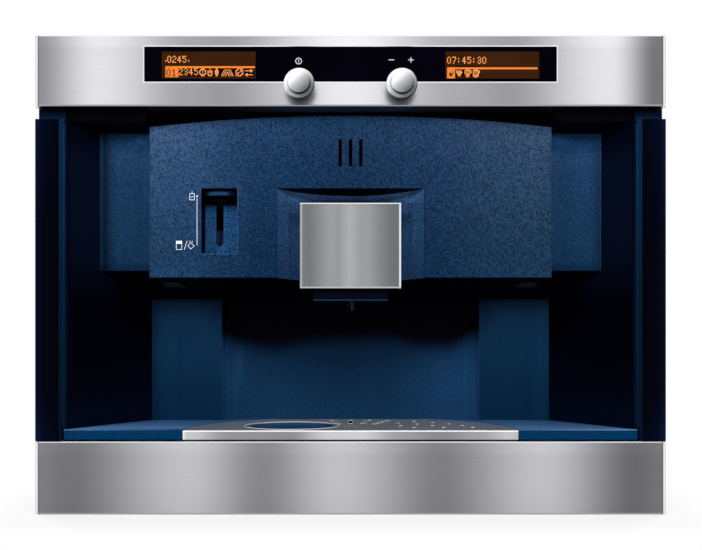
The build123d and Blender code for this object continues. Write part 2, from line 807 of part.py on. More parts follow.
with BuildPart() as cup_plate:
    with BuildSketch(Plane.XY.offset(plate_z)):
        with Locations((0, well_y)):
            Circle(plate_radius)
        with Locations((0, (plate_front_y + plate_rear_y) / 2)):
            Rectangle(2 * plate_radius, plate_rear_y - plate_front_y, mode=Mode.INTERSECT)
        with Locations((cup_ring_x, cup_ring_y)):
            Circle(cup_ring_radius, mode=Mode.SUBTRACT)
        with Locations(drain_holes()):
            RegularPolygon(hole_radius, hole_sides, mode=Mode.SUBTRACT)
        with Locations(drain_slot_places()):
            Rectangle(drain_slot_length, 2 * hole_radius, mode=Mode.SUBTRACT)
        with Locations((0, well_y + cross_slot_ring)):
            Rectangle(cross_slot_length, 2 * hole_radius, mode=Mode.SUBTRACT)
    extrude(amount=plate_skin)
    plate_front_half = math.sqrt(plate_radius**2 - (plate_front_y - well_y) ** 2)
    span(
        -plate_front_half, plate_front_half, plate_front_y, plate_front_y + plate_skin,
        tray_top - tray_lip_height, plate_z + plate_skin,
    )
    fold_edges = cup_plate.edges().filter_by(Axis.X).group_by(Axis.Y)[0]
    fillet(fold_edges.sort_by(Axis.Z)[-1], radius=fold_radius)
finish(cup_plate, "cup_plate")

# Cup rest: a shallow dish with a raised centre, on a square foot that stands on the tray floor.
rest_radius = cup_ring_radius - 2 * lie_gap
rest_foot = 44.0
rest_skin = 1.8
rest_rim = 4.4
rest_sink = 2.4
rest_centre = 34.0
centre_rise = 0.9
rest_top = plate_z + plate_skin - 2 * lie_gap
rest_floor = rest_top - rest_sink
with BuildPart() as cup_rest:
    with BuildSketch(Plane.XY.offset(rest_floor - rest_skin)):
        with Locations((cup_ring_x, cup_ring_y)):
            Circle(rest_radius)
    extrude(amount=rest_skin + rest_sink)
    with BuildSketch(Plane.XY.offset(rest_floor)):
        with Locations((cup_ring_x, cup_ring_y)):
            Circle(rest_radius - rest_rim)
            Circle(rest_centre, mode=Mode.SUBTRACT)
    extrude(amount=rest_sink, mode=Mode.SUBTRACT)
    with BuildSketch(Plane.XY.offset(rest_floor + centre_rise)):
        with Locations((cup_ring_x, cup_ring_y)):
            Circle(rest_centre)
    extrude(amount=rest_sink, mode=Mode.SUBTRACT)
    with BuildSketch(Plane.XY.offset(tray_floor + lie_gap)):
        with Locations((cup_ring_x, cup_ring_y)):
            Rectangle(rest_foot, rest_foot)
    extrude(amount=rest_floor - rest_skin - tray_floor - lie_gap)
finish(cup_rest, "cup_rest")

# ------------------------------------------------------------------ brew head
scoop_wall = moulding


def head_outline(inset):
    """Front view of the brew head, in the sketch that is being built: straight sides and an arched top."""
    half = head_half - inset
    top = head_side_top - inset
    with BuildLine() as outline:
        Polyline((-half, top), (-half, head_bottom + inset), (half, head_bottom + inset), (half, top))
        ThreePointArc((half, top), (0, top + head_arch), (-half, top))
    make_face(outline.edges())


lever_left = lever_x - lever_recess_width / 2
lever_right = lever_x + lever_recess_width / 2
lever_recess_bottom = lever_recess_top - lever_recess_height
lever_back_y = head_front_y + lever_recess_depth
lever_slot_width = lever_blade + 2 * lie_gap
blade_x = lever_x + lever_blade_shift
lever_rest_top = lever_recess_top - lever_top_gap
lever_rest_bottom = lever_rest_top - lever_tab_thickness
spout_slot_width = spout_tongue_width + 2 * lie_gap
spout_body_top = spout_plate_bottom + spout_plate_height - 2 * spout_plate_skin
scoop_back_y = head_front_y + scoop_depth

with BuildPart() as head_cover:
    with BuildSketch(front_plane(head_front_y)):
        head_outline(0)
    extrude(amount=-head_shell_depth)
    chamfer(head_cover.faces().sort_by(Axis.Y)[0].edges(), length=head_edge)
    with BuildSketch(front_plane(head_front_y + moulding)):
        head_outline(moulding)
    extrude(amount=-head_shell_depth, mode=Mode.SUBTRACT)
    # finger scoop: an upright cylinder sunk into the front, open at the bottom
    with BuildSketch(Plane.XY.offset(head_bottom)):
        with Locations((0, scoop_centre_y)):
            Circle(scoop_radius + scoop_wall)
        with Locations((0, head_front_y + past + scoop_radius)):
            Rectangle(4 * scoop_radius, 2 * scoop_radius, mode=Mode.INTERSECT)
    extrude(amount=scoop_top + scoop_wall - head_bottom)
    with BuildSketch(Plane.XY.offset(head_bottom - past)):
        with Locations((0, scoop_centre_y)):
            Circle(scoop_radius)
        with Locations((0, head_front_y - past + scoop_radius)):
            Rectangle(4 * scoop_radius, 2 * scoop_radius, mode=Mode.INTERSECT)
    extrude(amount=scoop_height + past, mode=Mode.SUBTRACT)
    # slot for the spout's tongue
    span(
        -spout_slot_width / 2, spout_slot_width / 2,
        scoop_back_y - 4 * scoop_wall, scoop_back_y + 2 * scoop_wall,
        head_bottom - past, spout_body_top + past, mode=Mode.SUBTRACT,
    )
    # lever recess with its slot
    span(
        lever_left - moulding, lever_right + moulding, head_front_y + past, lever_back_y + moulding,
        lever_recess_bottom - moulding, lever_recess_top + moulding,
    )
    with BuildSketch(front_plane(head_front_y)):
        with Locations((lever_x, (lever_recess_top + lever_recess_bottom) / 2)):
            RectangleRounded(lever_recess_width, lever_recess_height, radius=lever_recess_radius)
    extrude(amount=-lever_recess_depth, mode=Mode.SUBTRACT)
    with BuildSketch(front_plane(lever_back_y)):
        lever_slot_top = lever_rest_top - lever_blade_trim + lever_slot_width / 2
        lever_slot_bottom = lever_rest_bottom + lever_blade_trim - lever_travel - lever_slot_width / 2
        with Locations((blade_x, (lever_slot_top + lever_slot_bottom) / 2)):
            SlotOverall(lever_slot_top - lever_slot_bottom, lever_slot_width, rotation=90)
    extrude(amount=-2 * moulding, mode=Mode.SUBTRACT)
    # steam vents
    with BuildSketch(front_plane(head_front_y)) as vents:
        with Locations((0, vent_middle)):
            with GridLocations(vent_pitch, 0, vent_count, 1):
                Rectangle(vent_width, vent_length)
        chamfer(vents.vertices(), length=vent_width / 3)
    extrude(amount=-2 * moulding, mode=Mode.SUBTRACT)
finish(head_cover, "head_cover")

# Release lever: a thumb tab with a round front, a blade through the slot and a shoe behind it.
shoe_half = 8.0
shoe_depth = 5.0
shoe_y = lever_back_y + moulding + lie_gap
shoe_drop = 5.0
tab_set_back = 1.5
tab_crown = 7.0
tab_edge = 1.0
tab_front_y = head_front_y + tab_set_back
with BuildPart() as release_lever:
    with BuildSketch(Plane.XY.offset(lever_rest_bottom)):
        with BuildLine():
            rear_y = lever_back_y - past
            shoulder_y = tab_front_y + tab_crown
            left_x = lever_x - lever_tab_width / 2
            right_x = lever_x + lever_tab_width / 2
            Polyline((left_x, shoulder_y), (left_x, rear_y), (right_x, rear_y), (right_x, shoulder_y))
            ThreePointArc((right_x, shoulder_y), (lever_x, tab_front_y), (left_x, shoulder_y))
        make_face()
    extrude(amount=lever_tab_thickness)
    chamfer(release_lever.edges().group_by(Axis.Z)[-1].group_by(Axis.Y)[0], length=tab_edge)
    span(
        blade_x - lever_blade / 2, blade_x + lever_blade / 2, lever_back_y - 2 * past, shoe_y + past,
        lever_rest_bottom + lever_blade_trim, lever_rest_top - lever_blade_trim,
    )
    span(
        blade_x - shoe_half, blade_x + shoe_half, shoe_y, shoe_y + shoe_depth,
        lever_rest_bottom - shoe_drop, lever_rest_top,
    )
finish(release_lever, "release_lever")

# Lever guide: a channel behind the recess that the shoe runs in.
guide_wall = 2.0
with BuildPart() as lever_guide:
    guide_half = shoe_half + lie_gap + guide_wall
    guide_front_y = lever_back_y + moulding + lie_gap
    guide_rear_y = shoe_y + shoe_depth + lie_gap + guide_wall
    guide_low = lever_rest_bottom - shoe_drop - lever_travel - lie_gap - guide_wall
    guide_high = lever_rest_top + guide_wall
    span(blade_x - guide_half, blade_x + guide_half, guide_front_y, guide_rear_y, guide_low, guide_high)
    span(
        blade_x - guide_half + guide_wall, blade_x + guide_half - guide_wall,
        guide_front_y - past, guide_rear_y - guide_wall,
        guide_low + guide_wall, guide_high + past, mode=Mode.SUBTRACT,
    )
finish(lever_guide, "lever_guide")

# ------------------------------------------------------------------ spout
plate_face_y = head_front_y - spout_proud
spout_body_y = plate_face_y + spout_plate_skin
shoe_front_y = scoop_back_y + scoop_wall + lie_gap
shoe_rear_y = shoe_front_y + spout_shoe_depth
body_half = spout_plate_width / 2 - spout_plate_skin - plate_rest_gap
plate_bevel = 0.8
bar_bottom = spout_plate_bottom - spout_bar_height
with BuildPart() as spout_plate:
    span(
        -spout_plate_width / 2, spout_plate_width / 2, plate_face_y, plate_face_y + spout_plate_return,
        spout_plate_bottom, spout_plate_bottom + spout_plate_height,
    )
    fillet(spout_plate.faces().sort_by(Axis.Y)[0].edges(), radius=plate_bevel)
    span(
        -spout_plate_width / 2 + spout_plate_skin, spout_plate_width / 2 - spout_plate_skin,
        spout_body_y, plate_face_y + 2 * spout_plate_return,
        spout_plate_bottom + spout_plate_skin, spout_plate_bottom + spout_plate_height - spout_plate_skin,
        mode=Mode.SUBTRACT,
    )
finish(spout_plate, "spout_plate")

# The body narrows to the rear so that it clears the scoop, and ends below in the outlet bar.
body_rear_y = spout_body_y + spout_body_depth
body_rear_half = body_half - body_taper
shoulder_y = spout_body_y + body_taper
body_low = spout_plate_bottom + spout_plate_skin + plate_rest_gap
bar_set_back = 7.0
bar_rear_step = 2.0
nozzle_set_back = 13.0
nozzle_y = head_front_y + nozzle_set_back
with BuildPart() as spout_body:
    with BuildSketch(Plane.XY.offset(body_low)):
        with BuildLine():
            Polyline(
                (-body_half, spout_body_y), (body_half, spout_body_y), (body_half, shoulder_y),
                (body_rear_half, body_rear_y), (-body_rear_half, body_rear_y),
                (-body_half, shoulder_y), close=True,
            )
        make_face()
    extrude(amount=spout_body_top - body_low)
    span(
        -spout_bar_width / 2, spout_bar_width / 2, spout_body_y + bar_set_back, body_rear_y - bar_rear_step,
        bar_bottom, body_low + past,
    )
    span(
        -spout_tongue_width / 2, spout_tongue_width / 2, body_rear_y - past, shoe_front_y + past,
        spout_body_top - spout_shoe_height, spout_body_top,
    )
    span(
        -spout_shoe_width / 2, spout_shoe_width / 2, shoe_front_y, shoe_rear_y,
        spout_body_top - spout_shoe_height, spout_body_top,
    )
    with BuildSketch(Plane.XY.offset(bar_bottom)):
        with Locations((0, nozzle_y)):
            Circle(spout_nozzle_bore)
    extrude(amount=spout_plate_height / 2, mode=Mode.SUBTRACT)
finish(spout_body, "spout_body")

with BuildPart() as spout_nozzle:
    with BuildSketch(Plane.XY.offset(bar_bottom - lie_gap)):
        with Locations((0, nozzle_y)):
            Circle(spout_nozzle_radius)
            Circle(spout_nozzle_bore, mode=Mode.SUBTRACT)
    extrude(amount=-spout_nozzle_length)
finish(spout_nozzle, "spout_nozzle")

# Guide channel on the back of the scoop for the spout's shoe.
channel_half = spout_shoe_width / 2 + lie_gap + guide_wall
channel_rear_y = shoe_rear_y + lie_gap + guide_wall
channel_low = head_bottom + moulding + lie_gap
channel_high = spout_body_top + 3 * guide_wall
with BuildPart() as spout_guide:
    span(-channel_half, channel_half, shoe_front_y, channel_rear_y, channel_low, channel_high)
    span(
        guide_wall - channel_half, channel_half - guide_wall,
        shoe_front_y - past, channel_rear_y - guide_wall,
        head_bottom, channel_high - guide_wall, mode=Mode.SUBTRACT,
    )
finish(spout_guide, "spout_guide")

# ------------------------------------------------------------------ drawer chassis and runners
floor_z = head_bottom + lie_gap
front_flange = 24.0
floor_top = floor_z + drawer_sheet
chassis_front_y = head_rear_y + lie_gap
with BuildPart() as drawer_chassis:
    span(-drawer_half, drawer_half, chassis_front_y, drawer_rear_y, floor_z, floor_top)
    for side in (-1, 1):
        side_x = side * (drawer_half - drawer_sheet / 2)
        span(
            side_x - drawer_sheet / 2, side_x + drawer_sheet / 2, chassis_front_y, drawer_rear_y,
            floor_top, floor_z + drawer_side_height,
        )
        front_flange_x = side * (drawer_half - front_flange / 2)
        span(
            front_flange_x - front_flange / 2, front_flange_x + front_flange / 2,
            chassis_front_y, chassis_front_y + drawer_sheet,
            floor_top, floor_z + drawer_side_height,
        )
    span(
        -drawer_half, drawer_half, drawer_rear_y - drawer_sheet, drawer_rear_y,
        floor_top, floor_z + drawer_side_height,
    )
    # room for the spout guide
    span(
        -channel_half - past, channel_half + past, chassis_front_y - past, channel_rear_y + past,
        floor_z - past, floor_top + past, mode=Mode.SUBTRACT,
    )
finish(drawer_chassis, "drawer_chassis")

# Drawer rails slide in C-shaped runners, and brackets carry the runners from the side panels.
runner_front_y = head_rear_y + runner_set_back
runner_rear_y = body_depth - runner_rear_gap
with BuildPart() as drawer_rails:
    for side in (-1, 1):
        slide_x = side * (drawer_half + rail_width / 2)
        span(
            slide_x - rail_width / 2, slide_x + rail_width / 2, runner_front_y, drawer_rear_y,
            rail_bottom, rail_bottom + rail_height,
        )
finish(drawer_rails, "drawer_rails")

runner_web_x = drawer_half + rail_width + lie_gap
runner_low = rail_bottom - lie_gap - runner_skin
runner_high = rail_bottom + rail_height + lie_gap + runner_skin
with BuildPart() as fixed_runners:
    with BuildSketch(front_plane(runner_front_y)):
        with BuildLine():
            lip_x = drawer_half + runner_lip_gap
            Polyline(
                (lip_x, runner_low), (runner_web_x + runner_skin, runner_low),
                (runner_web_x + runner_skin, runner_high),
                (lip_x, runner_high), (lip_x, runner_high - runner_skin),
                (runner_web_x, runner_high - runner_skin),
                (runner_web_x, runner_low + runner_skin), (lip_x, runner_low + runner_skin), close=True,
            )
        make_face()
        mirror(about=Plane.YZ)
    extrude(amount=-(runner_rear_y - runner_front_y))
finish(fixed_runners, "fixed_runners")

bracket_x = runner_web_x + runner_skin
bracket_z = wing_bottom + moulding + stand_gap
bracket_high = runner_high + bracket_rise
bracket_outer_x = inner_x - lie_gap
with BuildPart() as runner_brackets:
    with BuildSketch(front_plane(runner_front_y)):
        with BuildLine():
            Polyline(
                (bracket_x, bracket_high), (bracket_x, bracket_z), (bracket_outer_x, bracket_z),
                (bracket_outer_x, bracket_z + bracket_flange),
                (bracket_outer_x - drawer_sheet, bracket_z + bracket_flange),
                (bracket_outer_x - drawer_sheet, bracket_z + drawer_sheet),
                (bracket_x + drawer_sheet, bracket_z + drawer_sheet),
                (bracket_x + drawer_sheet, bracket_high), close=True,
            )
        make_face()
        mirror(about=Plane.YZ)
    extrude(amount=-(runner_rear_y - runner_front_y))
finish(runner_brackets, "runner_brackets")

# ------------------------------------------------------------------ inside the drawer
seat_z = floor_top + lie_gap
inside_x = drawer_half - drawer_sheet - shelf_gap
inside_rear_y = drawer_rear_y - drawer_sheet - shelf_gap

# Water tank: an open-topped box with rounded corners.
tank_x = inside_x - tank_width / 2
tank_y = inside_rear_y - tank_depth / 2
tank_corner = 12.0
with BuildPart() as water_tank:
    with BuildSketch(Plane.XY.offset(seat_z + tank_height)):
        with Locations((tank_x, tank_y)):
            RectangleRounded(tank_width, tank_depth, radius=tank_corner)
    extrude(amount=-tank_height)
    with BuildSketch(Plane.XY.offset(seat_z + tank_height)):
        with Locations((tank_x, tank_y)):
            RectangleRounded(
                tank_width - 2 * tank_wall, tank_depth - 2 * tank_wall, radius=tank_corner - tank_wall,
            )
    extrude(amount=tank_wall - tank_height, mode=Mode.SUBTRACT)
finish(water_tank, "water_tank")

# Magazine base: a round plate on four legs, with the axle and the chute over the brew group.
plate_thickness = 2.5
leg_side = 8.0
chute_radius = flute_radius
flute_circle = magazine_radius - flute_radius / 2
plate_edge = 4.0
axle_rise = 2.0
with BuildPart() as magazine_base:
    with BuildSketch(Plane.XY.offset(magazine_plate_z)):
        with Locations((0, magazine_y)):
            Circle(magazine_radius + plate_edge)
            with Locations((0, -flute_circle)):
                Circle(chute_radius, mode=Mode.SUBTRACT)
    extrude(amount=plate_thickness)
    with BuildSketch(Plane.XY.offset(seat_z)):
        with Locations((0, magazine_y)):
            with PolarLocations(magazine_radius - leg_side / 2, 4, start_angle=45):
                Rectangle(leg_side, leg_side)
    extrude(amount=magazine_plate_z - seat_z + past)
    with BuildSketch(Plane.XY.offset(magazine_plate_z)):
        with Locations((0, magazine_y)):
            Circle(axle_radius)
    extrude(amount=plate_thickness + lie_gap + magazine_height + axle_rise)
finish(magazine_base, "magazine_base")

# Magazine motor under the plate, on the drawer floor: a square gear motor on a foot plate.
motor_half = 16.0
motor_ear = 6.0
with BuildPart() as magazine_motor:
    span(
        -motor_half, motor_half, magazine_y - motor_half, magazine_y + motor_half,
        seat_z, magazine_plate_z - lie_gap,
    )
    span(
        -motor_half - motor_ear, motor_half + motor_ear, magazine_y - motor_half / 2,
        magazine_y + motor_half / 2, seat_z, seat_z + 2 * drawer_sheet,
    )
finish(magazine_motor, "magazine_motor")

# Capsule magazine: a fluted drum that turns on the axle, one stack of capsules a flute.
magazine_low = magazine_plate_z + plate_thickness + lie_gap
with BuildPart() as capsule_magazine:
    with BuildSketch(Plane.XY.offset(magazine_low)):
        with Locations((0, magazine_y)):
            Circle(magazine_radius)
            Circle(axle_radius + run_gap, mode=Mode.SUBTRACT)
            with PolarLocations(flute_circle, magazine_flutes, start_angle=-90):
                RegularPolygon(flute_radius, flute_sides, mode=Mode.SUBTRACT)
    extrude(amount=magazine_height)
finish(capsule_magazine, "capsule_magazine")

# Brew group: body, clamping cylinder and the outlet towards the spout.
brew_front_y = channel_rear_y + stand_gap
brew_rear_y = magazine_y - motor_half - stand_gap
brew_half = 27.0
brew_top = magazine_plate_z - plate_thickness
neck_half = 14.5
capsule_bore = 16.0
neck_length = 20.0
with BuildPart() as brew_group:
    span(-brew_half, brew_half, brew_front_y + neck_length - past, brew_rear_y, seat_z, brew_top)
    span(-neck_half, neck_half, brew_front_y, brew_front_y + neck_length, seat_z, seat_z + 2 * neck_half)
    with BuildSketch(Plane.XY.offset(brew_top)):
        with Locations((0, magazine_y - flute_circle)):
            Circle(capsule_bore)
    extrude(amount=-neck_length, mode=Mode.SUBTRACT)
finish(brew_group, "brew_group")

# Thermoblock with cooling ribs, and the vibration pump behind it, front left.
block_left = -inside_x + stand_gap
block_right = -magazine_radius - front_flange / 2
block_gap = 8.0
block_front_y = chassis_front_y + block_gap
block_depth = 44.0
block_height = 38.0
fin_pitch = 10.0
fin_gap = 4.0
fin_depth = 6.0
fin_count = 9
with BuildPart() as thermoblock:
    span(block_left, block_right, block_front_y, block_front_y + block_depth, seat_z, seat_z + block_height)
    with BuildSketch(front_plane(block_front_y)):
        with Locations(((block_left + block_right) / 2, seat_z + block_height)):
            with GridLocations(fin_pitch, 0, fin_count, 1):
                Rectangle(fin_gap, 2 * fin_depth)
    extrude(amount=-block_depth, mode=Mode.SUBTRACT)
finish(thermoblock, "thermoblock")

pump_side = 40.0
pump_radius = 13.0
pump_length = 86.0
coil_length = 38.0
pump_gap = 6.0
pump_y = block_front_y + block_depth + pump_gap + pump_side / 2
with BuildPart() as pump:
    with BuildSketch(Plane.YZ.offset(block_left)):
        with Locations((pump_y, seat_z + pump_side / 2)):
            Circle(pump_radius)
    extrude(amount=pump_length)
    with BuildSketch(Plane.YZ.offset(block_left + (pump_length - coil_length) / 2)):
        with Locations((pump_y, seat_z + pump_side / 2)):
            Rectangle(pump_side, pump_side)
    extrude(amount=coil_length)
finish(pump, "pump")

# Used-capsule bin, behind the pump.
bin_gap = 24.2
bin_depth = inside_rear_y - bin_gap - (pump_y + pump_side / 2)
bin_x = -inside_x + bin_width / 2
bin_y = inside_rear_y - bin_depth / 2
bin_corner = 6.0
with BuildPart() as capsule_bin:
    with BuildSketch(Plane.XY.offset(seat_z)):
        with Locations((bin_x, bin_y)):
            RectangleRounded(bin_width, bin_depth, radius=bin_corner)
    extrude(amount=bin_height)
    offset(amount=-bin_wall, openings=capsule_bin.faces().sort_by(Axis.Z)[-1])
finish(capsule_bin, "capsule_bin")

# Vented power supply on the base pan, behind the tray shelf.
supply_width = 190.0
supply_depth = 112.0
supply_height = 56.7
supply_x = -35.0
supply_from_rear = 93.0
supply_y = body_depth - supply_from_rear
supply_slots = 9
supply_pitch = 18.0
supply_slot = 3.0
supply_slot_length = 78.0
with BuildPart() as power_supply:
    with BuildSketch(Plane.XY.offset(sheet + lie_gap)):
        with Locations((supply_x, supply_y)):
            Rectangle(supply_width, supply_depth)
    extrude(amount=supply_height)
    with BuildSketch(Plane.XY.offset(sheet + lie_gap + supply_height)):
        with Locations((supply_x, supply_y)):
            with GridLocations(supply_pitch, 0, supply_slots, 1):
                Rectangle(supply_slot, supply_slot_length)
    extrude(amount=-supply_slot, mode=Mode.SUBTRACT)
finish(power_supply, "power_supply")
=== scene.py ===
import math

import bmesh
import bpy
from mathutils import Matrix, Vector


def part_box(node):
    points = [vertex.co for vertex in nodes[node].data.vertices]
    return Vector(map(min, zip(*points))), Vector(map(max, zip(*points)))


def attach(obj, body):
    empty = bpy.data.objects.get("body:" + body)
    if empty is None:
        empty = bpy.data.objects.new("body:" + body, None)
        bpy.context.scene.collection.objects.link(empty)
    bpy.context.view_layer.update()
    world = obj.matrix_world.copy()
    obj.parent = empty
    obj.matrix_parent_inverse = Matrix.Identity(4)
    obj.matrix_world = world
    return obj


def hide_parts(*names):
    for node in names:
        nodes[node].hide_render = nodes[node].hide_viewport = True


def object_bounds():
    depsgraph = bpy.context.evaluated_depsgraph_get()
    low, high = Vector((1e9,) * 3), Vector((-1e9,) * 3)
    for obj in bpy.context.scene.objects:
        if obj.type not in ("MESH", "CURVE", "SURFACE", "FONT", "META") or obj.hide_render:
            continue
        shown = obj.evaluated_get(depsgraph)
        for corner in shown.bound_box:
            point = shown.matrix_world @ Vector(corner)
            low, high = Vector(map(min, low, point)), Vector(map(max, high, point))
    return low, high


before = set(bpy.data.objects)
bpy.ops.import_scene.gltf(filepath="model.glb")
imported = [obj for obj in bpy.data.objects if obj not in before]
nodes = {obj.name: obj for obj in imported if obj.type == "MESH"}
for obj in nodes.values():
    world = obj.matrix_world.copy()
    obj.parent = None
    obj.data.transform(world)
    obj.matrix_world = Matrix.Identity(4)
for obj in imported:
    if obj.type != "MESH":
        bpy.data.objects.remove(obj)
cad_low, cad_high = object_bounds()
scene = bpy.context.scene

# ------------------------------------------------------------------ photographer's set
# The machine stands on a seamless white sweep. The camera faces the cup niche a little above the cup
# plate, and its lens is shifted upwards. Two soft boxes stand left and right in front, two more behind.
camera_place = (0.0, -0.775, 0.1451)
camera_lens = 40.98
camera_shift = (0.0007, 0.1222)
camera_data = bpy.data.cameras.new("camera")
camera_data.lens = camera_lens
camera_data.sensor_width = 36.0
camera_data.shift_x, camera_data.shift_y = camera_shift
camera_data.clip_start = 0.01
camera = bpy.data.objects.new("camera", camera_data)
camera.location = camera_place
camera.rotation_euler = (math.radians(90), 0, 0)
scene.collection.objects.link(camera)
scene.camera = camera
scene.view_settings.view_transform = "Standard"

key_boxes = {"azimuth": 34.0, "elevation": 20.0, "power": 24.5}
rear_boxes = {"azimuth": 128.0, "elevation": 38.0, "power": 20.0}
box_distance = 2.0
box_side = 0.55
box_aim = Vector((0.0, 0.0, 0.23))
for boxes in (key_boxes, rear_boxes):
    for side in (-1, 1):
        azimuth = math.radians(boxes["azimuth"])
        elevation = math.radians(boxes["elevation"])
        towards = Vector((side * math.sin(azimuth) * math.cos(elevation),
            -math.cos(azimuth) * math.cos(elevation), math.sin(elevation)))
        box_data = bpy.data.lights.new("soft_box", "AREA")
        box_data.shape = "SQUARE"
        box_data.size = box_side
        box_data.energy = boxes["power"]
        soft_box = bpy.data.objects.new("soft_box", box_data)
        soft_box.location = box_aim + towards * box_distance
        soft_box.rotation_euler = (-towards).to_track_quat("-Z", "Y").to_euler()
        soft_box.visible_glossy = False
        scene.collection.objects.link(soft_box)


def add_node(tree, kind, inputs=None, **settings):
    """A new node with its own settings. Each input, by name or number, is a value or an output."""
    node = tree.nodes.new(kind)
    for name, value in settings.items():
        setattr(node, name, value)
    for key, value in (inputs or {}).items():
        if isinstance(value, bpy.types.NodeSocket):
            tree.links.new(value, node.inputs[key])
        else:
            node.inputs[key].default_value = value
    return node


def node_after(kind, inputs, **settings):
    """A new node in the tree of the first output that feeds it."""
    tree = next(value.id_data for value in inputs.values() if isinstance(value, bpy.types.NodeSocket))
    return add_node(tree, kind, inputs, **settings)


def value_of(kind, inputs, **settings):
    """The first output of a node that comes after its inputs."""
    return node_after(kind, inputs, **settings).outputs[0]


def feed(socket, value):
    """Links an output to an input of the same tree."""
    socket.id_data.links.new(value, socket)


def calc(operation, first, second=0.0, clamp=False):
    """The output of a Math node."""
    return value_of("ShaderNodeMath", {0: first, 1: second}, operation=operation, use_clamp=clamp)


def product(first, second):
    """Two values multiplied."""
    return calc("MULTIPLY", first, second)


def mix_colour(factor, first, second, blend="MIX"):
    """The output of a Mix node for two colours."""
    return node_after("ShaderNodeMix", {0: factor, 6: first, 7: second}, data_type="RGBA",
        blend_type=blend).outputs[2]


def tone(red, green=None, blue=None):
    """A colour from 0 to 255 as a display shows it, or one grey, as the linear colour a socket takes."""
    shown = (red, red if green is None else green, red if blue is None else blue)
    linear = [v / 255 / 12.92 if v < 11 else ((v / 255 + 0.055) / 1.055) ** 2.4 for v in shown]
    return (*linear, 1.0)


def seen_by_lens(tree):
    """1 for what the camera sees straight, in a mirror or through glass."""
    rays = add_node(tree, "ShaderNodeLightPath").outputs
    seen = calc("ADD", rays["Is Camera Ray"], rays["Is Glossy Ray"])
    return calc("ADD", seen, rays["Is Transmission Ray"], clamp=True)


sky_light = 0.06
world = bpy.data.worlds.new("studio")
world.use_nodes = True
scene.world = world
sky = world.node_tree
sky.nodes.clear()
lit = add_node(sky, "ShaderNodeBackground", {"Color": tone(255), "Strength": sky_light}).outputs[0]
shown = add_node(sky, "ShaderNodeBackground", {"Color": tone(255), "Strength": 1.0}).outputs[0]
either = value_of("ShaderNodeMixShader", {0: seen_by_lens(sky), 1: lit, 2: shown})
node_after("ShaderNodeOutputWorld", {0: either})

# the sweep: it takes the shadow near the machine, and fades to plain white further out
sweep_half = 6.0
shadow_reach = 0.09
shadow_share = 0.20
sweep_mesh = bpy.data.meshes.new("sweep")
corners = [(x * sweep_half, y * sweep_half, 0.0) for x, y in ((-1, -1), (1, -1), (1, 1), (-1, 1))]
sweep_mesh.from_pydata(corners, [], [(0, 1, 2, 3)])
sweep = bpy.data.objects.new("sweep", sweep_mesh)
scene.collection.objects.link(sweep)
sweep_paint = bpy.data.materials.new("white_sweep")
sweep_paint.use_nodes = True
tree = sweep_paint.node_tree
tree.nodes.clear()
place = add_node(tree, "ShaderNodeTexCoord").outputs["Object"]
axes = node_after("ShaderNodeSeparateXYZ", {0: place}).outputs
beside = calc("SUBTRACT", calc("ABSOLUTE", axes["X"]), cad_high.x)
middle_y = (cad_low.y + cad_high.y) / 2
from_middle = calc("ABSOLUTE", calc("SUBTRACT", axes["Y"], middle_y))
away = calc("MAXIMUM", beside, calc("SUBTRACT", from_middle, cad_high.y - middle_y))
fade = value_of("ShaderNodeMapRange", {"Value": away, "From Min": 0.0, "From Max": shadow_reach,
    "To Min": 1.0 - shadow_share, "To Max": 1.0}, interpolation_type="SMOOTHSTEP")
matt = add_node(tree, "ShaderNodeBsdfPrincipled", {"Base Color": tone(236), "Roughness": 0.9,
    "Specular IOR Level": 0.0}).outputs[0]
glow = add_node(tree, "ShaderNodeEmission", {"Color": tone(255), "Strength": 1.0}).outputs[0]
white = product(fade, seen_by_lens(tree))
both = value_of("ShaderNodeMixShader", {0: white, 1: matt, 2: glow})
node_after("ShaderNodeOutputMaterial", {0: both})
sweep_mesh.materials.append(sweep_paint)

# ------------------------------------------------------------------ fascias
# Two steel skins with a brushed finish and folded edges, above and below the niche. The brushing runs
# from side to side, and upright bands of painted reflection run down the steel, as the room would show
# in it. They hook over the rails behind.


def object_axes(tree, output="Object"):
    """Object coordinates or normals, whole and as X, Y and Z."""
    vector = add_node(tree, "ShaderNodeTexCoord").outputs[output]
    split = node_after("ShaderNodeSeparateXYZ", {0: vector}).outputs
    return vector, split["X"], split["Y"], split["Z"]


def new_material(name, **inputs):
    """A node material, its Principled shader and its axes. Inputs name sockets, with _ for a space."""
    material = bpy.data.materials.new(name)
    material.use_nodes = True
    tree = material.node_tree
    tree.nodes.clear()
    values = {key.replace("_", " "): value for key, value in inputs.items()}
    shader = add_node(tree, "ShaderNodeBsdfPrincipled", values)
    node_after("ShaderNodeOutputMaterial", {0: shader.outputs[0]})
    return material, shader, object_axes(tree)


def new_group(name, takes, gives):
    """An empty shader node group: inputs by name and value, floats or vectors, and float outputs."""
    group = bpy.data.node_groups.new(name, "ShaderNodeTree")
    for label, value in takes.items():
        kind = "NodeSocketFloat" if isinstance(value, float) else "NodeSocketVector"
        group.interface.new_socket(label, in_out="INPUT", socket_type=kind).default_value = value
    for label in gives:
        group.interface.new_socket(label, in_out="OUTPUT", socket_type="NodeSocketFloat")
    return group, add_node(group, "NodeGroupInput").outputs, add_node(group, "NodeGroupOutput").inputs


def use_group(group, inputs):
    """Places a node group after its inputs and returns its outputs."""
    return node_after("ShaderNodeGroup", inputs, node_tree=group).outputs


def share_of(value, low, high, interpolation="LINEAR"):
    """How far a value lies from low to high, from 0 to 1."""
    return value_of("ShaderNodeMapRange", {"Value": value, "From Min": low, "From Max": high},
        interpolation_type=interpolation)


def noise(vector, scale, detail):
    """The value of a noise over coordinates."""
    return value_of("ShaderNodeTexNoise", {"Vector": vector, "Scale": scale, "Detail": detail})


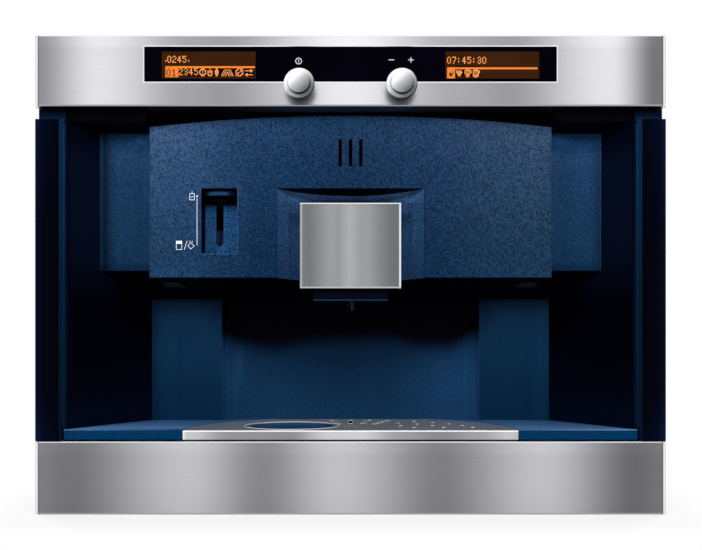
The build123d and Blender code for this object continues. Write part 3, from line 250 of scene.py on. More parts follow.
# a stripe of a surface between two values of one coordinate, with soft edges
stripe_group, takes, gives = new_group("stripe", {"Position": 0.0, "From": 0.0, "To": 1.0,
    "Softness": 0.0005}, ["Mask"])
start = calc("SUBTRACT", takes["From"], takes["Softness"])
end = calc("ADD", takes["To"], takes["Softness"])
feed(gives["Mask"], product(share_of(takes["Position"], start, takes["From"], "SMOOTHSTEP"),
    share_of(takes["Position"], end, takes["To"], "SMOOTHSTEP")))


def stripe(position, start, end, softness=0.0005):
    """The mask of a stripe between two values of a coordinate."""
    return use_group(stripe_group, {"Position": position, "From": start, "To": end,
        "Softness": softness})["Mask"]


# brushing: long fine scratches along one direction, with a few longer and broader streaks among them
brushing, takes, gives = new_group("brushing", {"Vector": (0.0, 0.0, 0.0), "Stretch": (1.0, 1.0, 1.0),
    "Scratches": 3000.0, "Streaks": 300.0}, ["Scratch", "Streak"])
drawn = value_of("ShaderNodeVectorMath", {0: takes["Vector"], 1: takes["Stretch"]}, operation="MULTIPLY")
feed(gives["Scratch"], noise(drawn, takes["Scratches"], 3.0))
feed(gives["Streak"], noise(drawn, takes["Streaks"], 2.0))


def grey(value):
    """A linear grey that a ramp passes on as a plain factor."""
    return (value, value, value, 1.0)


def linear(*colour):
    """A colour that is linear already."""
    return colour


def ramp(factor, stops, interpolation="EASE"):
    """A ColorRamp's colour. A stop is its position, then a factor, three tones or a linear colour."""
    node = node_after("ShaderNodeValToRGB", {0: factor})
    node.color_ramp.interpolation = interpolation
    elements = node.color_ramp.elements
    while len(elements) < len(stops):
        elements.new(0.5)
    for element, (position, *shade) in zip(elements, stops):
        element.position = position
        element.color = {1: grey, 3: tone, 4: linear}[len(shade)](*shade)
    return node.outputs["Color"]


def spread(value, stops, interpolation="LINEAR"):
    """A ramp over a coordinate, from stops of (coordinate, colour) in rising order."""
    low, high = stops[0][0], stops[-1][0]
    return ramp(share_of(value, low, high), [((at - low) / (high - low), *shade) for at, *shade in stops],
        interpolation)


def by_side(x, left, right):
    """A ramp over the distance from the middle, with its own stops left and right of it."""
    out = calc("ABSOLUTE", x)
    on_right = calc("GREATER_THAN", x, 0.0)
    return mix_colour(on_right, spread(out, left), spread(out, right))


def brushed(vector, stretch, scratches, streaks):
    """Scratches and streaks drawn out along x by a small stretch."""
    return use_group(brushing, {"Vector": vector, "Stretch": (stretch, 1.0, 1.0), "Scratches": scratches,
        "Streaks": streaks})


def bump(height, strength, distance):
    """The normal output of a Bump node."""
    return value_of("ShaderNodeBump", {"Height": height, "Strength": strength, "Distance": distance})


def scaled(value, low, high):
    """A value from 0 to 1 brought to another range."""
    return value_of("ShaderNodeMapRange", {"Value": value, "To Min": low, "To Max": high})


def times(colour, *factors):
    """A colour multiplied by other colours or factors."""
    for factor in factors:
        colour = mix_colour(1.0, colour, factor, "MULTIPLY")
    return colour


def dress(shader, colour, source, roughness=None, relief=None):
    """Feeds a shader its colour and, from a value from 0 to 1, its range of roughness and its bump."""
    feed(shader.inputs["Base Color"], colour)
    if roughness:
        feed(shader.inputs["Roughness"], scaled(source, *roughness))
    if relief:
        feed(shader.inputs["Normal"], bump(source, *relief))


def mottled(name, scale, detail, first, second, roughness=None, relief=None, **inputs):
    """A material that wanders between two colours over a noise, which also moves roughness or bump."""
    material, shader, axes = new_material(name, **inputs)
    wander = noise(axes[0], scale, detail)
    dress(shader, ramp(wander, [(0.3, *first), (0.7, *second)]), wander, roughness, relief)
    return material


def lined(colour, position, *lines):
    """A colour with lines over it: each has its start, end and softness, then three tones."""
    for start, end, softness, *shade in lines:
        colour = mix_colour(stripe(position, start, end, softness), colour, tone(*shade))
    return colour


def from_axis(first, second):
    """How far a point lies from an axis, from its two offsets."""
    return calc("SQRT", calc("ADD", product(first, first), product(second, second)))


brushed_relief = (0.15, 0.00002)


def brushed_front(name, reflection_bands, low, high):
    """Brushed steel of a fascia from low to high, with painted reflection bands, a painted lighter top,
    painted highlights along its folded edges and end radii, and painted dark lines beside them.
    """
    material, shader, (vector, x, _, z) = new_material(name, Metallic=1.0)
    # painted reflection: upright bands of the room along x
    colour = spread(x, [(at, level, level, level + 4) for at, level in reflection_bands], "EASE")
    grain = brushed(vector, 0.02, 3600.0, 420.0)
    # brushed grain, and painted light: the top of the skin a little lighter
    colour = times(colour, scaled(grain["Scratch"], 0.90, 1.10), scaled(grain["Streak"], 0.96, 1.04),
        spread(z, [(high - 0.014, 1.0), (high - 0.008, 1.09), (high, 1.09)]))
    end = cad_high.x
    # painted highlight along the top fold and painted edge shade along the bottom fold
    colour = lined(colour, z, (high - 0.0008, high + 0.001, 0.0006, 246, 246, 248),
        (low - 0.001, low + 0.0008, 0.0016, 165, 165, 170))
    # painted shade and a painted highlight on the rounded ends: a dark line, a bright band, a dark
    # outline
    colour = lined(colour, calc("ABSOLUTE", x), (end - 0.0034, end - 0.0029, 0.0003, 96, 98, 104),
        (end - 0.0026, end - 0.0011, 0.0002, 244, 245, 248), (end - 0.0008, end + 0.001, 0.0002, 110, 112,
        118))
    dress(shader, colour, grain["Scratch"], (0.22, 0.42), brushed_relief)
    return material


def paint(material, *names):
    """Gives CAD nodes a material in their objects' own slots."""
    for name in names:
        for place in nodes[name].material_slots:
            place.material = material


top_low, top_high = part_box("top_fascia")
bottom_low, bottom_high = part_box("bottom_fascia")
# painted reflection bands of the two fascias: grey levels along x
top_reflection_bands = [(-0.2975, 143), (-0.238, 229), (-0.150, 165), (-0.122, 157), (0.0, 238), (0.100, 172),
    (0.150, 157), (0.245, 231), (0.288, 119), (0.2975, 118)]
bottom_reflection_bands = [(-0.2975, 128), (-0.265, 117), (-0.152, 194), (-0.083, 137), (-0.012, 194), (0.085, 128),
    (0.181, 193), (0.268, 107), (0.2975, 118)]
paint(brushed_front("top_fascia_steel", top_reflection_bands, top_low.z, top_high.z), "top_fascia")
paint(brushed_front("bottom_fascia_steel", bottom_reflection_bands, bottom_low.z, bottom_high.z), "bottom_fascia")

# ------------------------------------------------------------------ housing
# Folded sheet panels of zinc-coated steel round the works: pan, sides, top, back, lower rail and
# brackets. What faces the niche from above is coloured near black as painted shade, so that nothing
# shines in the gaps.
zinc, shader, (vector, *_) = new_material("zinc_coated_steel", Metallic=1.0)
flakes = node_after("ShaderNodeTexVoronoi", {"Vector": vector, "Scale": 260.0}, feature="F1")
cloud = noise(vector, 14.0, 3.0)
colour = ramp(cloud, [(0.3, 186, 189, 193), (0.7, 196, 198, 202)], "LINEAR")
flake = value_of("ShaderNodeSeparateColor", {0: flakes.outputs["Color"]})
dress(shader, times(colour, scaled(flake, 0.94, 1.04)), flake, (0.44, 0.50))
paint(zinc, "base_pan", "left_side_panel", "right_side_panel", "top_panel", "rear_panel", "bottom_rail",
    "runner_brackets")

# painted shade: the top rail, partition and drawer chassis over the niche are coloured near black
shade_black = mottled("painted_shade_black", 260.0, 2.0, (5, 5, 9), (10, 11, 16), (0.5, 0.8),
    Specular_IOR_Level=0.0)
paint(shade_black, "top_rail", "partition", "drawer_chassis")

# screws of the housing: pan heads with a cross recess, on the back and along both side panels
screw_head = 0.0034
screw_rise = 0.0015
screw_recess = 0.0019


def new_geometry(name, *sizes, turned=False):
    """An empty Geometry Nodes tree with named inputs: points, sizes, a turn if any and a material."""
    tree = bpy.data.node_groups.new(name, "GeometryNodeTree")
    kinds = {"Geometry": "Geometry", **dict.fromkeys(sizes, "Float")}
    if turned:
        kinds["Turn"] = "Vector"
    kinds["Finish"] = "Material"
    for label, kind in kinds.items():
        tree.interface.new_socket(label, in_out="INPUT", socket_type="NodeSocket" + kind)
    tree.interface.new_socket("Geometry", in_out="OUTPUT", socket_type="NodeSocketGeometry")
    return tree, add_node(tree, "NodeGroupInput").outputs


def scatter(takes, *parts):
    """Ends a tree: its joined parts on every point, made real, then their material."""
    join = add_node(parts[0].id_data, "GeometryNodeJoinGeometry")
    for part in parts:
        feed(join.inputs[0], part)
    turn = {"Rotation": takes["Turn"]} if "Turn" in takes else {}
    copies = value_of("GeometryNodeInstanceOnPoints", {"Points": takes["Geometry"],
        "Instance": join.outputs[0], **turn})
    real = value_of("GeometryNodeRealizeInstances", {0: copies})
    dressed = value_of("GeometryNodeSetMaterial", {"Geometry": real, "Material": takes["Finish"]})
    node_after("NodeGroupOutput", {0: dressed})


def grow(name, tree, spots, values):
    """Runs a Geometry Nodes tree on loose points and returns the plain mesh that it makes."""
    seed_mesh = bpy.data.meshes.new(name + "_points")
    seed_mesh.from_pydata([tuple(spot) for spot in spots], [], [])
    seed = bpy.data.objects.new(name + "_points", seed_mesh)
    scene.collection.objects.link(seed)
    modifier = seed.modifiers.new(name, "NODES")
    modifier.node_group = tree
    sockets = {item.name: item.identifier for item in tree.interface.items_tree if item.in_out == "INPUT"}
    for label, value in values.items():
        modifier[sockets[label]] = value
    bpy.context.view_layer.update()
    grown = bpy.data.meshes.new_from_object(seed.evaluated_get(bpy.context.evaluated_depsgraph_get()))
    seed.modifiers.remove(modifier)
    bpy.data.objects.remove(seed)
    return grown


def new_piece(name, mesh, body, material=None):
    """A finished piece from a mesh: linked, dressed, riding on its body."""
    piece = bpy.data.objects.new(name, mesh)
    scene.collection.objects.link(piece)
    if material is not None:
        mesh.materials.clear()
        mesh.materials.append(material)
    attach(piece, body)
    return piece


def baked(name, sheet):
    """The mesh of a finished bmesh."""
    mesh = bpy.data.meshes.new(name)
    sheet.to_mesh(mesh)
    sheet.free()
    return mesh


def joined(name, meshes):
    """One mesh from several, with the materials of the first."""
    whole = bmesh.new()
    for part in meshes:
        whole.from_mesh(part)
    mesh = baked(name, whole)
    for material in meshes[0].materials:
        mesh.materials.append(material)
    return mesh


screw_tree, takes = new_geometry("screws", "Head Radius", "Head Height", "Recess", turned=True)
head = value_of("GeometryNodeMeshCone", {"Vertices": 20, "Side Segments": 1,
    "Radius Bottom": takes["Head Radius"], "Radius Top": takes["Recess"], "Depth": takes["Head Height"]},
    fill_type="NGON")
recess_floor = value_of("GeometryNodeMeshCircle", {"Vertices": 4, "Radius": takes["Recess"]},
    fill_type="NGON")
lifted = value_of("ShaderNodeCombineXYZ", {"Z": product(takes["Head Height"], 1.02)})
recess_floor = value_of("GeometryNodeTransform", {"Geometry": recess_floor, "Translation": lifted,
    "Scale": (0.55, 0.55, 1.0)})
scatter(takes, head, recess_floor)

screw_steel = mottled("screw_steel", 900.0, 2.0, (150, 146, 132), (196, 190, 172), (0.2, 0.45),
    Metallic=1.0)
rear_low, rear_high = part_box("rear_panel")
side_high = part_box("right_side_panel")[1]
screw_inset = 0.008
screw_columns = 7
screw_pitch = (rear_high.x - rear_low.x - 2 * screw_inset) / (screw_columns - 1)
rear_spots = [(rear_low.x + screw_inset + k * screw_pitch, rear_high.y, row)
    for row in (rear_low.z + screw_inset, rear_high.z - screw_inset) for k in range(screw_columns)]
for k in range(1, 4):
    z = rear_low.z + k * (rear_high.z - rear_low.z) / 4
    rear_spots += [(side * (rear_high.x - screw_inset), rear_high.y, z) for side in (-1, 1)]
side_spots = [(y, z) for y in (0.045, 0.150, 0.262) for z in (0.008, 0.059, 0.392, 0.439)]
side_spots += [(y, z) for y in (0.060, 0.160, 0.260) for z in (0.246, 0.290)]
screw_meshes = [grow("screws", screw_tree, spots, {"Head Radius": screw_head, "Head Height": screw_rise,
    "Recess": screw_recess, "Turn": turn, "Finish": screw_steel}) for spots, turn in ((rear_spots, (
    math.radians(-90), 0.0, 0.0)), ([(-side_high.x, y, z) for y, z in side_spots],
    (0.0, math.radians(-90), 0.0)), ([(side_high.x, y, z) for y, z in side_spots],
    (0.0, math.radians(90), 0.0)))]
new_piece("housing_screws", joined("housing_screws", screw_meshes), "housing")

# ------------------------------------------------------------------ columns, trims and niche mouldings
# Blue injection mouldings with a fine spark-eroded texture line the niche, with painted light and shade
# in their colours. The trims in front of the columns are glossy and nearly black, with a painted blue
# reflection on their soft inner lip.

# moulded texture: fine grain of a spark-eroded mould, with sparse brighter points
moulded, takes, gives = new_group("moulded_texture", {"Vector": (0.0, 0.0, 0.0), "Grain": 1500.0},
    ["Height", "Speckle"])
coarse = noise(takes["Vector"], takes["Grain"], 2.0)
feed(gives["Height"], coarse)
feed(gives["Speckle"], share_of(coarse, 0.34, 0.68))

# underside: what faces down in the niche sees no light, so its moulding is painted near black as shade
underside, takes, gives = new_group("underside", {"Normal": (0.0, 0.0, 0.0), "Start": 0.25, "Full": 0.7},
    ["Mask"])
upward = node_after("ShaderNodeSeparateXYZ", {0: takes["Normal"]}).outputs["Z"]
feed(gives["Mask"], share_of(product(upward, -1.0), takes["Start"], takes["Full"]))


matt_plastic = (0.42, 0.6)
eroded_relief = (0.25, 0.0001)


def moulding(name, colour_of, grain=900.0, speckle=(0.82, 1.2), level=0.02):
    """A textured plastic moulding. colour_of makes its colour output from the object coordinates."""
    material, shader, (vector, x, y, z) = new_material(name, Specular_IOR_Level=level)
    texture = use_group(moulded, {"Vector": vector, "Grain": grain})
    colour = times(colour_of(x, y, z), scaled(texture["Speckle"], *speckle))
    # painted shade: faces turned down are mixed to near black
    below = use_group(underside, {"Normal": object_axes(vector.id_data, "Normal")[0]})["Mask"]
    dress(shader, mix_colour(below, colour, tone(3, 4, 9)), texture["Height"], matt_plastic,
        eroded_relief)
    return material


def wall_colour(x, y, z):
    """Side walls in painted light and shade: nearly black in front, a little lighter at the rear, high up
    and over the deck.
    """
    rear = spread(y, [(-0.02, 0.0), (0.03, 0.25), (0.104, 1.0)])
    front_shade = spread(z, [(0.09, 4, 12, 30), (0.12, 1, 2, 11), (0.20, 1, 1, 9), (0.25, 4, 11, 27),
        (0.34, 5, 13, 31), (0.36, 2, 3, 15)])
    rear_shade = spread(z, [(0.09, 5, 13, 32), (0.12, 3, 6, 21), (0.175, 1, 1, 8), (0.215, 1, 1, 8),
        (0.25, 9, 20, 43), (0.34, 12, 24, 49)])
    return mix_colour(rear, front_shade, rear_shade)


paint(moulding("wall_moulding", wall_colour), "left_niche_wall", "right_niche_wall")

wing_panel_y = 0.027
wing_header_z = 0.3737


def wing_colour(x, y, z):
    """Wings in painted light and shade: the panel beside the brew head is painted as lit from above and
    darker near its side edges, and the header over the side bay and what lies ahead of the panel are
    painted near black as shade.
    """
    # painted light falling off down the panel, and painted shade near its side edges
    panel = spread(z, [(0.235, 11, 33, 55), (0.246, 19, 48, 78), (0.2665, 22, 52, 80),
        (0.307, 26, 55, 87), (0.327, 29, 57, 91), (0.347, 34, 61, 96), (0.357, 30, 62, 99),
        (0.367, 32, 74, 118), (0.3715, 24, 58, 92), (0.3737, 15, 36, 62)])
    beside = by_side(x, [(0.2067, 1.18), (0.2168, 1.02), (0.2268, 0.80), (0.2339, 0.82), (0.2419, 0.57),
        (0.2468, 0.25), (0.2505, 0.62)], [(0.2067, 1.12), (0.2253, 0.84), (0.2330, 0.84), (0.2404, 0.90),
        (0.2470, 0.86), (0.2500, 0.74), (0.2515, 1.4)])
    panel = times(panel, beside)
    # painted shade: the header and what lies ahead of the panel are painted near black
    header_shade = stripe(z, wing_header_z, cad_high.z, 0.0006)
    ahead_shade = stripe(y, cad_low.y, wing_panel_y, 0.0004)
    return mix_colour(calc("MAXIMUM", header_shade, ahead_shade), panel, tone(1, 1, 4))


paint(moulding("wing_moulding", wing_colour, grain=620.0, speckle=(0.7, 1.35)), "left_wing", "right_wing")
# painted shade: the soffit under the brew head is coloured near black
paint(moulding("soffit_moulding", lambda x, y, z: spread(y, [(0.07, 4, 5, 12), (0.13, 3, 4, 10)]),
    level=0.0), "niche_soffit")

recess_half = 0.1413


def back_colour(x, y, z):
    """Rear wall in painted light and shade: flat side panels, and a recess whose top lies in a painted
    wavy shadow of the brew head.
    """
    # painted light and shade over the side panels, by height and by side
    panels = spread(z, [(0.072, 8, 38, 66), (0.113, 9, 37, 63), (0.157, 12, 42, 70), (0.179, 13, 44, 73),
        (0.1955, 17, 46, 76), (0.2076, 15, 36, 62), (0.2125, 8, 19, 39)])
    panels = times(panels, by_side(x, [(0.188, 0.99), (0.199, 1.25), (0.208, 1.25), (0.2185, 0.99),
        (0.2515, 0.97)], [(0.150, 0.91), (0.180, 0.94), (0.196, 1.0), (0.208, 1.45), (0.2515, 1.45)]))
    # painted light across the lower recess, by height and by side
    lower = spread(z, [(0.085, 20, 51, 83), (0.123, 15, 43, 71), (0.150, 13, 37, 63)])
    across_low = by_side(x, [(0.0, 0.88), (0.08, 0.98), (0.126, 0.93), (0.131, 1.8), (recess_half, 1.9)],
        [(0.0, 0.88), (0.045, 0.88), (0.08, 1.06), (0.10, 1.2), (0.126, 1.25), (0.131, 2.3),
        (recess_half, 2.5)])
    across_high = by_side(x, [(0.0, 0.66), (0.035, 0.78), (0.069, 1.1), (0.10, 1.25), (0.12, 1.4),
        (0.131, 2.9), (recess_half, 3.6)], [(0.0, 0.66), (0.045, 0.95), (0.078, 1.45), (0.101, 1.85),
        (0.126, 1.95), (0.131, 3.6), (recess_half, 4.2)])
    rising = share_of(z, 0.098, 0.146)
    across = mix_colour(rising, across_low, across_high)
    # painted shadow of the brew head: its wavy lower edge along x, near black above it
    low_edge, high_edge = 0.150, 0.180
    edge = spread(x, [(at, (edge - low_edge) / (high_edge - low_edge))
        for at, edge in ((-recess_half, 0.170), (-0.127, 0.163), (-0.086, 0.1585), (-0.035, 0.167),
        (0.0445, 0.169), (0.078, 0.161), (0.110, 0.160), (recess_half, 0.172))], "EASE")
    shadow_edge_z = scaled(edge, low_edge, high_edge)
    over = calc("SUBTRACT", z, shadow_edge_z)
    in_shadow = share_of(over, -0.012, 0.012, "SMOOTHSTEP")
    recess = mix_colour(in_shadow, times(lower, across), tone(2, 1, 8))
    outside = stripe(calc("ABSOLUTE", x), recess_half + 0.0002, cad_high.x, 0.0002)
    return mix_colour(outside, recess, panels)


paint(moulding("back_moulding", back_colour, grain=700.0), "niche_back")
# painted shade: the shelf a little darker towards the rear of the niche
paint(moulding("shelf_moulding", lambda x, y, z: spread(y, [(0.0, 10, 22, 42), (0.15, 8, 18, 36)])),
    "tray_shelf")

trim_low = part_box("right_trim")[0]
trim_paint, shader, (vector, x, _, z) = new_material("trim_gloss", Specular_IOR_Level=0.01)
out = calc("ABSOLUTE", x)
ripple = noise(vector, 26.0, 2.0)
# painted light: bluer towards the outer edge, and lighter near the bottom and the top
colour = spread(out, [(0.2675, 1, 1, 6), (0.275, 1, 1, 6), (0.290, 1, 3, 14), (0.2975, 4, 11, 30)])
colour = times(colour, spread(z, [(0.075, 2.4), (0.095, 1.3), (0.13, 0.8), (0.28, 0.9), (0.33, 1.2),
    (0.386, 1.8)]), scaled(ripple, 0.9, 1.1))
# painted reflection of the blue niche on the inner lip, and a painted dark line along its edge
lip_reflection = stripe(out, trim_low.x + 0.0024, trim_low.x + 0.0050, 0.0012)
lip_reflection_tone = times(tone(12, 42, 71), spread(z, [(0.08, 0.4), (0.22, 0.6), (0.33, 1.05)]))
colour = lined(colour, out, (trim_low.x - 0.001, trim_low.x + 0.0010, 0.0004, 4, 10, 27))
colour = mix_colour(lip_reflection, colour, lip_reflection_tone)
dress(shader, colour, ripple, (0.09, 0.15))
paint(trim_paint, "left_trim", "right_trim")
# painted shade: the columns darken under the top fascia near their tops
paint(moulding("column_moulding", lambda x, y, z: spread(z, [(0.07, 9, 32, 58), (0.375, 9, 34, 62),
    (0.379, 4, 12, 28), (0.386, 3, 6, 18)])), "left_column", "right_column")

# ------------------------------------------------------------------ display window
# One tinted glass strip behind the fascia, clear over the two amber dot-matrix displays, with a bevelled
# steel frame round its opening, coloured near white as a painted highlight, and three printed signs
# between the displays.
glass_low, glass_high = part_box("display_window")
left_low, left_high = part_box("left_display")
right_low, right_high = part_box("right_display")
lcd_edge = 0.0006
window_paint, shader, (vector, x, _, z) = new_material("tinted_glass", Specular_IOR_Level=0.01)
out = calc("ABSOLUTE", x)
clear_x = stripe(out, right_low.x + lcd_edge, right_high.x - lcd_edge, 0.0002)
clear_z = stripe(z, left_low.z, left_high.z - lcd_edge, 0.0002)
clear = product(clear_x, clear_z)
haze = noise(vector, 12.0, 2.0)
dress(shader, ramp(haze, [(0.3, 1, 0, 5), (0.7, 2, 1, 9)]), haze, (0.06, 0.11))
feed(shader.inputs["Alpha"], calc("SUBTRACT", 1.0, clear))
paint(window_paint, "display_window")

bezel_width = 0.0011
bezel_rise = 0.0003
bezel_bevel = 0.00025
window_gap = 0.0002


def frame_band(name, low, high, width, front, rise, bevel):
    """A flat rectangular frame round an opening, whose two long edges are bevelled."""
    rings = [(0.0, 0.0), (0.0, rise - bevel), (bevel, rise), (width - bevel, rise), (width, rise - bevel),
        (width, 0.0)]
    band = bmesh.new()
    loops = []
    for grow_by, lift in rings:
        corners = [(low[0] - grow_by, low[1] - grow_by), (high[0] + grow_by, low[1] - grow_by),
            (high[0] + grow_by, high[1] + grow_by), (low[0] - grow_by, high[1] + grow_by)]
        loops.append([band.verts.new((x, front - lift, z)) for x, z in corners])
    for inner, outer in zip(loops, loops[1:] + loops[:1]):
        for k in range(4):
            band.faces.new((inner[k], inner[k - 1], outer[k - 1], outer[k]))
    bmesh.ops.recalc_face_normals(band, faces=band.faces)
    return baked(name, band)


# painted highlight: the bevelled frame round the window is coloured near white
bezel_highlight_paint = mottled("bevel_highlight_steel", 90.0, 2.0, (246, 246, 246), (254, 254, 254), (0.15, 0.3),
    Metallic=1.0)
bezel_mesh = frame_band("window_bezel", (glass_low.x - window_gap, glass_low.z - window_gap),
    (glass_high.x + window_gap, glass_high.z + window_gap), bezel_width, top_low.y, bezel_rise,
    bezel_bevel)
new_piece("window_bezel", bezel_mesh, "housing", bezel_highlight_paint)

# printed signs on the glass: a standby sign, a minus and a plus
sign_y = glass_low.y - 0.00006
sign_z = 0.4287
sign_stroke = 0.0006


def ring_faces(sheet, centre, inner, outer, steps, y):
    """A flat ring that faces the user, added to a bmesh."""
    rows = []
    for k in range(steps + 1):
        angle = 2 * math.pi * k / steps
        rows.append([sheet.verts.new((centre[0] + r * math.cos(angle), y,
            centre[1] + r * math.sin(angle))) for r in (inner, outer)])
    for first, second in zip(rows, rows[1:]):
        sheet.faces.new((first[0], first[1], second[1], second[0]))


def bar_faces(sheet, x0, x1, z0, z1, y):
    """A flat bar that faces the user, added to a bmesh."""
    sheet.faces.new([sheet.verts.new((x, y, z)) for x, z in ((x0, z0), (x1, z0), (x1, z1), (x0, z1))])


def upright_bar(sheet, x, half, z0, z1, y):
    """A bar about an upright line."""
    bar_faces(sheet, x - half, x + half, z0, z1, y)


def facing_front(name, sheet):
    """A mesh from a bmesh of flat faces, all turned to the user."""
    for face in sheet.faces:
        face.normal_update()
        if face.normal.y > 0:
            face.normal_flip()
    return baked(name, sheet)


signs = bmesh.new()
standby_x, minus_x, plus_x = -0.0489, 0.0386, 0.0570
standby_z = 0.4276
standby_radius = 0.0031
ring_faces(signs, (standby_x, standby_z), standby_radius - sign_stroke, standby_radius, 32, sign_y)
half_sign = sign_stroke / 2
upright_bar(signs, standby_x, half_sign, standby_z - 0.0015, standby_z + 0.0015, sign_y)
sign_half = 0.0026
for x in (minus_x, plus_x):
    upright_bar(signs, x, sign_half, sign_z - half_sign, sign_z + half_sign, sign_y)
for low, high in ((-sign_half, -half_sign), (half_sign, sign_half)):
    upright_bar(signs, plus_x, half_sign, sign_z + low, sign_z + high, sign_y)
print_paint = mottled("printed_white", 2600.0, 1.0, (196, 198, 204), (232, 234, 238), (0.5, 0.7))
new_piece("window_signs", facing_front("window_signs", signs), "housing", print_paint)

# ------------------------------------------------------------------ displays
# Two amber dot-matrix panels behind the window. Every lit dot is a small square on a fixed grid, and a
# marked field is a block of lit dots with its sign left out.
dot_pitch = 0.00095
dot_fill = 0.78
dot_y = left_low.y - 0.0001
lcd_paint, shader, (vector, x, _, z) = new_material("lcd_backlight", Base_Color=tone(6, 3, 2),
    Roughness=0.6, Specular_IOR_Level=0.0, Emission_Strength=1.0)
unlit = noise(vector, 40.0, 1.0)
colour = ramp(unlit, [(0.3, 54, 28, 11), (0.7, 62, 32, 13)])
crosstalk = calc("ADD", stripe(x, -0.1620, -0.0918, 0.0005), stripe(x, 0.0990, 0.1225, 0.0005))
crosstalk = product(crosstalk, stripe(z, 0.4145, 0.4242, 0.0005))
colour = mix_colour(crosstalk, colour, tone(16, 7, 4))
feed(shader.inputs["Emission Color"], colour)
paint(lcd_paint, "left_display", "right_display")

# signs of four dots in width, seven rows of one hexadecimal figure each, from the top
figures = {"0": "6999996", "1": "2622227", "2": "691248F", "3": "6916196", "4": "266AF22", "5": "F8E1196",
    "6": "688E996", "7": "F112244", "8": "6996996", "9": "6997116", ":": "0440440", ".": "0000440"}
# small pictures of up to eight dots in width, eight rows of two hexadecimal figures each
pictures = {"ring": "387CC69292C67C38", "cup": "2020A8F8D888D870", "bottle": "6060F0F0F0F06060",
    "waves_left": "001428285454A8A8", "waves_right": "00A05050A8A85454", "bean": "3D66C78DB1E366BC",
    "arrows": "0006FF060060FF60", "mark": "000004123C381800", "small_mug": "00D8FCFC78783000",
    "mug": "78FEAED6BC787830", "large_mug": "78FEAED6ACDCFC78"}


def figure_dots(text, x, z):
    """Dots of a line of figures whose upper left dot is at x and z."""
    spots = []
    place = 0
    for sign in text:
        for row, code in enumerate(figures[sign]):
            spots += [(place + column, row) for column in range(4) if int(code, 16) >> (3 - column) & 1]
        place += 3 if sign == "." else 5
    return [(x + column * dot_pitch, z - row * dot_pitch) for column, row in spots]


def picture_dots(name, x, z):
    """Dots of a small picture whose upper left dot is at x and z."""
    codes = pictures[name]
    rows = [int(codes[k:k + 2], 16) for k in range(0, len(codes), 2)]
    return [(x + column * dot_pitch, z - row * dot_pitch) for row, code in enumerate(rows)
        for column in range(8) if code >> (7 - column) & 1]


def block_dots(x0, x1, z0, z1, left_out=()):
    """Dots of a filled field between two corners, without the dots of its sign."""
    gone = {(round((x - x0) / dot_pitch), round((z1 - z) / dot_pitch)) for x, z in left_out}
    columns = round((x1 - x0) / dot_pitch)
    rows = round((z1 - z0) / dot_pitch)
    return [(x0 + column * dot_pitch, z1 - row * dot_pitch) for column in range(columns + 1)
        for row in range(rows + 1) if (column, row) not in gone]


rule_height = 0.7 * dot_pitch
left_x, left_end, left_field_end = -0.1746, -0.0914, -0.1634
left_rule_z, left_field_z, left_text_z, left_picture_z = 0.4233, 0.4142, 0.4331, 0.4213
dots = figure_dots(".0245.", -0.1757, left_text_z) + figure_dots("2345", -0.1618, left_picture_z)
fields = block_dots(left_x, left_end, left_rule_z - rule_height, left_rule_z)
fields += block_dots(left_x, left_field_end, left_field_z, left_rule_z - dot_pitch,
    figure_dots("01", -0.1736, left_picture_z - 0.0007))
for name, x in (("ring", -0.1426), ("cup", -0.1348), ("bottle", -0.1280), ("waves_left", -0.1217),
        ("waves_right", -0.1160), ("bean", -0.1084), ("arrows", -0.0994)):
    dots += picture_dots(name, x, left_picture_z)
right_x, right_end, right_field_end = 0.0918, 0.1765, 0.0987
right_rule_z, right_field_z, right_text_z, right_picture_z = 0.4222, 0.4124, 0.4322, 0.4203
dots += figure_dots("07:45:30", right_x, right_text_z)
fields += block_dots(right_x, right_end, right_rule_z - rule_height, right_rule_z)
fields += block_dots(right_x, right_field_end, right_field_z, right_rule_z - dot_pitch,
    picture_dots("mark", right_x, right_picture_z))
for name, x in (("small_mug", 0.1005), ("mug", 0.1083), ("large_mug", 0.1161)):
    dots += picture_dots(name, x, right_picture_z)

dot_tree, takes = new_geometry("display_dots", "Dot Side")
square = value_of("GeometryNodeMeshGrid", {"Size X": takes["Dot Side"], "Size Y": takes["Dot Side"],
    "Vertices X": 2, "Vertices Y": 2})
scatter(takes, value_of("GeometryNodeTransform", {"Geometry": square,
    "Rotation": (math.radians(90), 0.0, 0.0)}))


def lit_paint(name, low, high, strength):
    """Light of lit dots, a little uneven over the panel."""
    material, shader, axes = new_material(name, Base_Color=tone(60, 30, 12), Roughness=0.5,
        Specular_IOR_Level=0.0, Emission_Strength=strength)
    uneven = noise(axes[0], 900.0, 1.0)
    feed(shader.inputs["Emission Color"], ramp(uneven, [(0.3, *low), (0.7, *high)]))
    return material


for name, spots, fill, glow in (("display_dots", dots, dot_fill,
        lit_paint("lit_dots", (244, 146, 78), (255, 168, 98), 1.5)),
        ("display_fields", fields, 1.0, lit_paint("lit_fields", (238, 126, 48), (248, 138, 58), 1.0))):
    lit_mesh = grow(name, dot_tree, [(x, dot_y, z) for x, z in spots],
        {"Dot Side": dot_pitch * fill, "Finish": glow})
    new_piece(name, lit_mesh, "housing")

